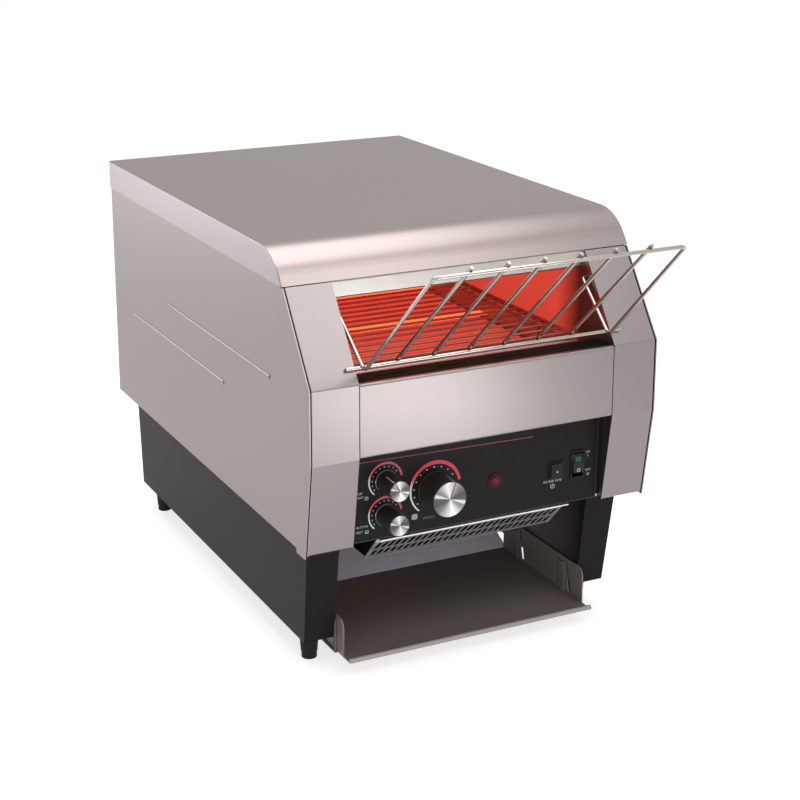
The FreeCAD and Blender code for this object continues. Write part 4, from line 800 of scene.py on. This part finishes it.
def make_lamp():
    """A dark red ringed lens in a black rim, on the drawn lamp's body."""
    turned(
        [
            (4.8, -21.0),
            (4.8, -0.4),
            (4.8, 0.0),
            (7.15, 0.0),
            (7.15, 0.8),
            (6.95, 1.1),
            (6.7, 1.1),
        ]
    )
    rim = settle("lamp_rim", on_panel(*lamp_place), lamp_collar)
    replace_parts(rim, "indicator_lamp")
    turned(
        [
            (6.65, 0.9),
            (6.65, 1.5),
            (6.2, 1.9),
            (5.6, 1.9),
            (5.3, 1.35),
            (4.9, 1.35),
            (4.6, 2.4),
            (4.1, 2.75),
            (3.5, 2.75),
            (3.2, 2.45),
            (2.8, 2.45),
            (2.5, 2.95),
            (1.6, 3.3),
            (0.6, 3.38),
        ]
    )
    settle("lamp_lens", on_panel(*lamp_place), lamp_glass)
    ring(8.1, 7.1, 0.5)
    settle("lamp_gasket", on_panel(*lamp_place), lamp_collar)


make_lamp()

turned([(0.8, 0.0), (0.8, 0.06), (0.7, 0.12)], 24)
settle(
    "save_button_dot", on_panel(*save_dot_place, save_face), white_ink, "save_button"
)

# Words and symbols printed on the panel


def lettering(name, words, place, width, height, material):
    """Flat raised words fitted to a width and a height in millimetres."""
    clear()
    bpy.ops.object.text_add(location=(0, 0, 0))
    text = bpy.context.object
    text.data.body = words
    text.data.align_x = "CENTER"
    text.data.align_y = "CENTER"
    text.data.resolution_u = 3
    bpy.ops.object.convert(target="MESH")
    across, up = bpy.context.object.dimensions[:2]
    open_up()
    bpy.ops.mesh.remove_doubles(threshold=0.0001)
    bpy.ops.transform.resize(value=(width * mm / across, height * mm / up, 1))
    shape = bmesh.from_edit_mesh(bpy.context.object.data)
    middle = (min(c.co.y for c in shape.verts) + max(c.co.y for c in shape.verts)) / 2
    side = (min(c.co.x for c in shape.verts) + max(c.co.x for c in shape.verts)) / 2
    bpy.ops.transform.translate(value=(-side, -middle, 0))
    thicken(0.07)
    settle(name, on_panel(*place), material)


for name, words, place, width, height, print_ink in (
    ("word_top", "TOP", (-125.5, 48.7), 5.6, 2.3, word_ink),
    ("word_top_heat", "HEAT", (-125.0, 44.8), 7.2, 2.3, word_ink),
    ("word_bottom", "BOTTOM", (-122.6, 15.3), 11.6, 2.3, word_ink),
    ("word_bottom_heat", "HEAT", (-125.4, 10.5), 7.2, 2.3, word_ink),
    ("word_on", "ON", (121.2, 49.6), 4.4, 2.5, word_ink),
    ("mark_on", "I", (121.3, 45.9), 0.5, 2.4, word_ink),
    ("word_off", "OFF", (121.8, 30.8), 6.2, 2.5, word_ink),
    ("word_save", "POWER SAVE", (81.8, 25.6), 20.5, 2.5, word_ink),
    ("word_speed", "SPEED", (-53.6, 12.6), 12.2, 2.4, faint_ink),
):
    lettering(name, words, place, width, height, print_ink)

ring(1.35, 1.0, 0.07, 24)
settle("mark_off", on_panel(122.1, 26.4), white_ink)
ring(2.4, 1.85, 0.07, 32, 70)
settle("standby_ring", on_panel(81.9, 20.4), white_ink)
bar(0.5, 2.5, 0.07, 0.1)
settle("standby_bar", on_panel(81.9, 21.6), white_ink)


def slot_symbol(name, place, bar_up, bar_thick):
    """An open square with a bar above or below it, for the heat of one side."""
    clear()
    bpy.ops.mesh.primitive_plane_add(size=mm, location=(0, 0, 0))
    open_up()
    bpy.ops.transform.resize(value=(3.4, 3.1, 1))
    bpy.ops.mesh.inset(thickness=0.35 * mm)
    bpy.ops.mesh.delete(type="FACE")
    thicken(0.07)
    settle(name + "_square", on_panel(*place), white_ink)
    bar(1.9, bar_thick, 0.07, 0.1)
    u, v = place
    settle(name + "_bar", on_panel(u, v + bar_up), white_ink)


slot_symbol("top_heat_symbol", (-118.4, 43.1), 0.55, 0.45)
slot_symbol("bottom_heat_symbol", (-118.0, 9.6), -0.55, 0.45)


def slice_symbol():
    """A small slice outline: a square with rounded corners, sunk in its middle."""
    bar(6.0, 5.6, 0.07, 1.4)
    choose("FACE", lambda f: f.normal.z > 0.9)
    bpy.ops.mesh.inset(thickness=1.0 * mm)
    bpy.ops.mesh.extrude_region_move(TRANSFORM_OT_translate={"value": (0, 0, -0.05 * mm)})
    settle("slice_symbol", on_panel(-68.4, 15.7), lavender_ink)


slice_symbol()


def panel_edge_highlight():
    """The thin light line along the overlay's sides and foot: a painted highlight on its edge."""
    clear()
    bpy.ops.mesh.primitive_plane_add(size=mm, location=(0, 0, 0))
    open_up()
    width, height, line = 263.4, 86.0, 0.4
    bpy.ops.transform.resize(value=(width, height, 1))
    bpy.ops.mesh.inset(thickness=line * mm)
    bpy.ops.mesh.delete(type="FACE")
    choose("FACE", lambda f: f.calc_center_median().y > (height / 2 - 3) * mm)
    bpy.ops.mesh.delete(type="FACE")
    thicken(0.06)
    settle("panel_edge_highlight", on_panel(0.0, height / 2 + 0.5), edge_highlight_ink)


panel_edge_highlight()

bar(189.5, 1.0, 0.07, 0.3)
settle("panel_stripe", on_panel(-36.3, 77.05) @ about_z(-1.12), red_ink)

# Rocker window and mark, on the rocker's own two faces


def on_rocker(out, up, lean):
    place = Matrix.Translation((rocker_place[0] * mm, -out * mm, (rocker_place[1] + up) * mm))
    return panel_plane @ place @ Matrix.Rotation(math.radians(lean), 4, "X")


bar(6.0, 5.0, 0.14, 0.7)
settle("rocker_window", on_rocker(1.78, 5.6, 70), window_green, "power_rocker")
ring(1.8, 1.3, 0.1, 24)
settle("rocker_mark", on_rocker(3.24, -5.3, 90), white_ink, "power_rocker")

# Wire rack of smooth rods, with places in millimetres behind the front and above the counter

rod = 1.85
rack_foot = Vector((128.3, 1.5, 308.5))
rack_top = Vector((124.0, -118.2, 420.8))
rest_y, rest_z = 6.81, 310.54
rest_reach = 144.7
hook_reach, arm_reach = 143.35, 131.0
arm_y, arm_z = 54.3, 352.4
wire_count = 6
wire_lift, wire_before, wire_past = 3.6, 1.7, 3.9


def local(point):
    """A place in millimetres behind the front and above the counter, in metres."""
    return Vector((point[0] * mm, front_y + point[1] * mm, point[2] * mm))


def start_rod(start, ahead):
    """The rounded first end of a rod, square to its way ahead."""
    clear()
    bpy.ops.mesh.primitive_circle_add(
        vertices=20, radius=rod * 0.7 * mm, fill_type="NOTHING", location=(0, 0, 0)
    )
    piece = bpy.context.object
    turn = ahead.to_track_quat("Z", "Y").to_matrix().to_4x4()
    piece.matrix_world = Matrix.Translation(start) @ turn
    bpy.ops.object.transform_apply(location=True, rotation=True, scale=True)
    open_up()
    push(ahead * 0.5 * mm)
    grow(1 / 0.7)


def push(way):
    bpy.ops.mesh.extrude_edges_move(TRANSFORM_OT_translate={"value": way})


def grow(ratio):
    bpy.ops.transform.resize(value=(ratio, ratio, ratio))


def end_rod(ahead):
    push(ahead * 0.5 * mm)
    grow(0.7)
    bpy.ops.mesh.select_all(action="SELECT")
    bpy.ops.mesh.fill_holes(sides=0)


def make_rod(points, bends):
    """A round rod through points, bent round each corner, with both ends rounded."""
    points = [local(point) for point in points]
    ways = [(b - a).normalized() for a, b in zip(points, points[1:])]
    start_rod(points[0], ways[0])
    here = points[0] + ways[0] * 0.5 * mm
    for index, bend in enumerate(bends):
        before, after = ways[index], ways[index + 1]
        corner = points[index + 1]
        turn = before.angle(after)
        reach = bend * mm * math.tan(turn / 2)
        axis = before.cross(after).normalized()
        near = corner - before * reach
        push(near - here)
        centre = near + axis.cross(before) * bend * mm
        bpy.ops.mesh.spin(
            steps=max(3, round(math.degrees(turn) / 12)), angle=turn, center=centre, axis=-axis
        )
        here = corner + after * reach
    push(points[-1] - ways[-1] * 0.5 * mm - here)
    end_rod(ways[-1])
    return finish_rod()


def finish_rod():
    bpy.ops.mesh.select_all(action="SELECT")
    bpy.ops.mesh.remove_doubles(threshold=0.00001)
    bpy.ops.mesh.normals_make_consistent(inside=False)
    bpy.ops.object.mode_set(mode="OBJECT")
    return bpy.context.object


def join_all(pieces):
    bpy.ops.object.select_all(action="DESELECT")
    for piece in pieces:
        piece.select_set(True)
    bpy.context.view_layer.objects.active = pieces[0]
    bpy.ops.object.join()


def make_rack():
    """The rack: one bent frame rod, a rest rod along the foot, and six slanted wires."""
    hook, arm = (hook_reach, arm_y, arm_z), (arm_reach, arm_y, arm_z)
    half = [hook, arm, tuple(rack_foot), tuple(rack_top)]
    frame_line = half + [(-x, y, z) for x, y, z in half[::-1]]
    rods = [make_rod(frame_line, [4.0, 8.0, 5.0, 5.0, 8.0, 4.0])]
    rods.append(make_rod([(-rest_reach, rest_y, rest_z), (rest_reach, rest_y, rest_z)], []))
    ahead = Vector((0, rack_top.y - rest_y, rack_top.z - rest_z)).normalized()
    lift = Vector((0, ahead.z, -ahead.y)) * wire_lift
    for index in range(wire_count):
        share = 2 * (index + 1) / (wire_count + 1) - 1
        foot = Vector((rack_foot.x * share, rest_y, rest_z)) + lift - ahead * wire_before
        top = Vector((rack_top.x * share, rack_top.y, rack_top.z)) + lift + ahead * wire_past
        rods.append(make_rod([tuple(foot), tuple(top)], []))
    join_all(rods)
    rack = settle("wire_rack", Matrix.Identity(4), chrome_rod, "rack")
    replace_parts(rack, "feed_rack")


make_rack()

# Smooth rubber feet

foot_x, front_foot, foot_span = 151.0, 80.6, 417.1


def repeat(piece, places):
    """Copies of a finished piece, each with a mesh of its own, shifted to further places."""
    made = [piece]
    for place in places:
        copy = piece.copy()
        copy.data = piece.data.copy()
        copy.data.transform(Matrix.Translation(place))
        bpy.context.scene.collection.objects.link(copy)
        made.append(copy)
    return made


def make_feet():
    turned(
        [
            (7.0, 0.05),
            (7.55, 0.6),
            (7.55, 7.0),
            (8.15, 7.0),
            (9.5, 27.0),
            (9.5, 27.95),
        ]
    )
    finish_rod()
    foot = bpy.context.object
    foot.data.transform(Matrix.Translation(local((-foot_x, front_foot, 0.0))))
    across, along = 2 * foot_x * mm, foot_span * mm
    join_all(repeat(foot, [(across, 0, 0), (0, along, 0), (across, along, 0)]))
    feet = settle("stepped_feet", Matrix.Identity(4), rubber)
    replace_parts(feet, "rubber_feet")


make_feet()

# Screws with a crossed recess


def make_screw(radius):
    """A domed head with a cross sunk in it, standing along Z."""
    clear()
    bpy.ops.mesh.primitive_grid_add(
        x_subdivisions=3, y_subdivisions=3, size=2 * mm, location=(0, 0, 0)
    )
    open_up()
    choose("VERT", lambda c: abs(c.co.x) < 0.9 * mm)
    bpy.ops.transform.resize(value=(0.55, 1, 1), center_override=(0, 0, 0))
    choose("VERT", lambda c: abs(c.co.y) < 0.9 * mm)
    bpy.ops.transform.resize(value=(1, 0.55, 1), center_override=(0, 0, 0))
    choose("FACE", lambda f: min(abs(c) for c in f.calc_center_median().xy) < 0.1 * mm)
    bpy.ops.mesh.extrude_region_move(TRANSFORM_OT_translate={"value": (0, 0, -0.9 * mm)})
    bpy.ops.transform.resize(value=(0.85, 0.85, 1), center_override=(0, 0, 0))
    choose("EDGE", lambda e: e.is_boundary)
    for step, drop in ((0.35, 0.1), (0.35, 0.35), (0.12, 0.7)):
        bpy.ops.mesh.extrude_edges_move(TRANSFORM_OT_translate={"value": (0, 0, -drop * mm)})
        bpy.ops.transform.resize(value=(1 + step, 1 + step, 1), center_override=(0, 0, 0))
        bpy.ops.transform.tosphere(value=0.75)
    bpy.ops.mesh.fill_holes(sides=0)
    bpy.ops.mesh.select_all(action="SELECT")
    bpy.ops.mesh.normals_make_consistent(inside=False)
    bpy.ops.object.mode_set(mode="OBJECT")
    size = max(bpy.context.object.dimensions.x, bpy.context.object.dimensions.y) / 2
    open_up()
    bpy.ops.transform.resize(value=(radius * mm / size,) * 3, center_override=(0, 0, 0))
    shape = bmesh.from_edit_mesh(bpy.context.object.data)
    low = min(corner.co.z for corner in shape.verts)
    bpy.ops.transform.translate(value=(0, 0, -low))


make_screw(1.6)
settle("panel_screw", on_panel(*screw_place), screw_steel)


def make_rear_screws():
    """Six screws along the edges of the back panel."""
    make_screw(3.4)
    finish_rod()
    screw = bpy.context.object
    backward = Matrix.Rotation(math.radians(-90), 4, "X")
    from_side, from_foot, from_top = 9 * mm, 14 * mm, 30 * mm
    left, right = back_low.x + from_side, back_high.x - from_side
    middle = (back_low.z + back_high.z) / 2
    levels = [back_low.z + from_foot, middle, back_high.z - from_top]
    screw.data.transform(Matrix.Translation((left, back_high.y, levels[0])) @ backward)
    steps = []
    for x in (left, right):
        for z in levels:
            steps.append((x - left, 0, z - levels[0]))
    join_all(repeat(screw, steps[1:]))
    settle("rear_screws", Matrix.Identity(4), screw_steel)


make_rear_screws()

# Floor and light


def seen_directly(tree):
    """One where a ray comes from the camera, a reflection or a clear piece."""
    path = tree.nodes.new("ShaderNodeLightPath")
    first = combine(tree, "MAXIMUM", path.outputs["Is Camera Ray"], path.outputs["Is Glossy Ray"])
    return combine(tree, "MAXIMUM", first, path.outputs["Is Transmission Ray"])


def make_floor():
    """A white floor that keeps a soft shadow under the piece."""
    clear()
    bpy.ops.mesh.primitive_plane_add(size=12, location=(0, 0, 0))
    floor = bpy.context.object
    floor.name = "floor"
    material, tree, shader = new_material("pale_floor", (0.86, 0.86, 0.86), 0.0, 0.9)
    shader.inputs["Specular IOR Level"].default_value = 0.1
    white = tree.nodes.new("ShaderNodeEmission")
    white.inputs["Strength"].default_value = 0.72
    shaded = tree.nodes.new("ShaderNodeBsdfDiffuse")
    shaded.inputs["Color"].default_value = (0.5, 0.5, 0.5, 1)
    both = tree.nodes.new("ShaderNodeAddShader")
    blend = tree.nodes.new("ShaderNodeMixShader")
    tree.links.new(white.outputs["Emission"], both.inputs[0])
    tree.links.new(shaded.outputs["BSDF"], both.inputs[1])
    tree.links.new(seen_directly(tree), blend.inputs["Fac"])
    tree.links.new(shader.outputs["BSDF"], blend.inputs[1])
    tree.links.new(both.outputs["Shader"], blend.inputs[2])
    tree.links.new(blend.outputs["Shader"], tree.nodes["Material Output"].inputs["Surface"])
    floor.data.materials.append(material)


def make_world():
    world = bpy.data.worlds.new("studio")
    bpy.context.scene.world = world
    world.use_nodes = True
    tree = world.node_tree
    plain = tree.nodes["Background"]
    plain.inputs["Color"].default_value = (1, 1, 1, 1)
    plain.inputs["Strength"].default_value = 0.55
    white = tree.nodes.new("ShaderNodeBackground")
    white.inputs["Color"].default_value = (1, 1, 1, 1)
    white.inputs["Strength"].default_value = 1.0
    blend = tree.nodes.new("ShaderNodeMixShader")
    tree.links.new(seen_directly(tree), blend.inputs["Fac"])
    tree.links.new(plain.outputs["Background"], blend.inputs[1])
    tree.links.new(white.outputs["Background"], blend.inputs[2])
    tree.links.new(blend.outputs["Shader"], tree.nodes["World Output"].inputs["Surface"])


def softbox(name, place, target, size, power):
    light = bpy.data.lights.new(name, "AREA")
    light.shape = "RECTANGLE"
    light.size, light.size_y = size
    light.energy = power
    lamp = bpy.data.objects.new(name, light)
    bpy.context.scene.collection.objects.link(lamp)
    lamp.location = place
    lamp.rotation_euler = (Vector(target) - Vector(place)).to_track_quat("-Z", "Y").to_euler()


make_floor()
make_world()
for name, place, target, size, power in (
    ("overhead", (0.0, front_y + 0.4, 1.75), (0.0, front_y + 0.1, 0.38), (1.6, 1.5), 24),
    ("upper", (0.48, front_y - 0.76, 1.46), (-0.1, front_y, 0.33), (0.5, 0.55), 2.9),
    ("low", (0.12, front_y - 0.46, 0.12), (-0.12, front_y, 0.27), (0.26, 0.1), 0.42),
    ("tray", (-0.28, front_y - 0.3, 0.07), (0.05, 0.0, 0.1), (0.2, 0.08), 0.25),
    ("rear", (-1.2, 1.85, 0.22), (-0.18, 0.0, 0.3), (0.5, 0.4), 3.2),
    ("left", (-1.6, front_y + 0.6, 0.9), (0.0, front_y + 0.3, 0.25), (0.9, 0.9), 1.4),
):
    softbox(name, place, target, size, power)

bpy.context.scene.view_settings.view_transform = "Standard"
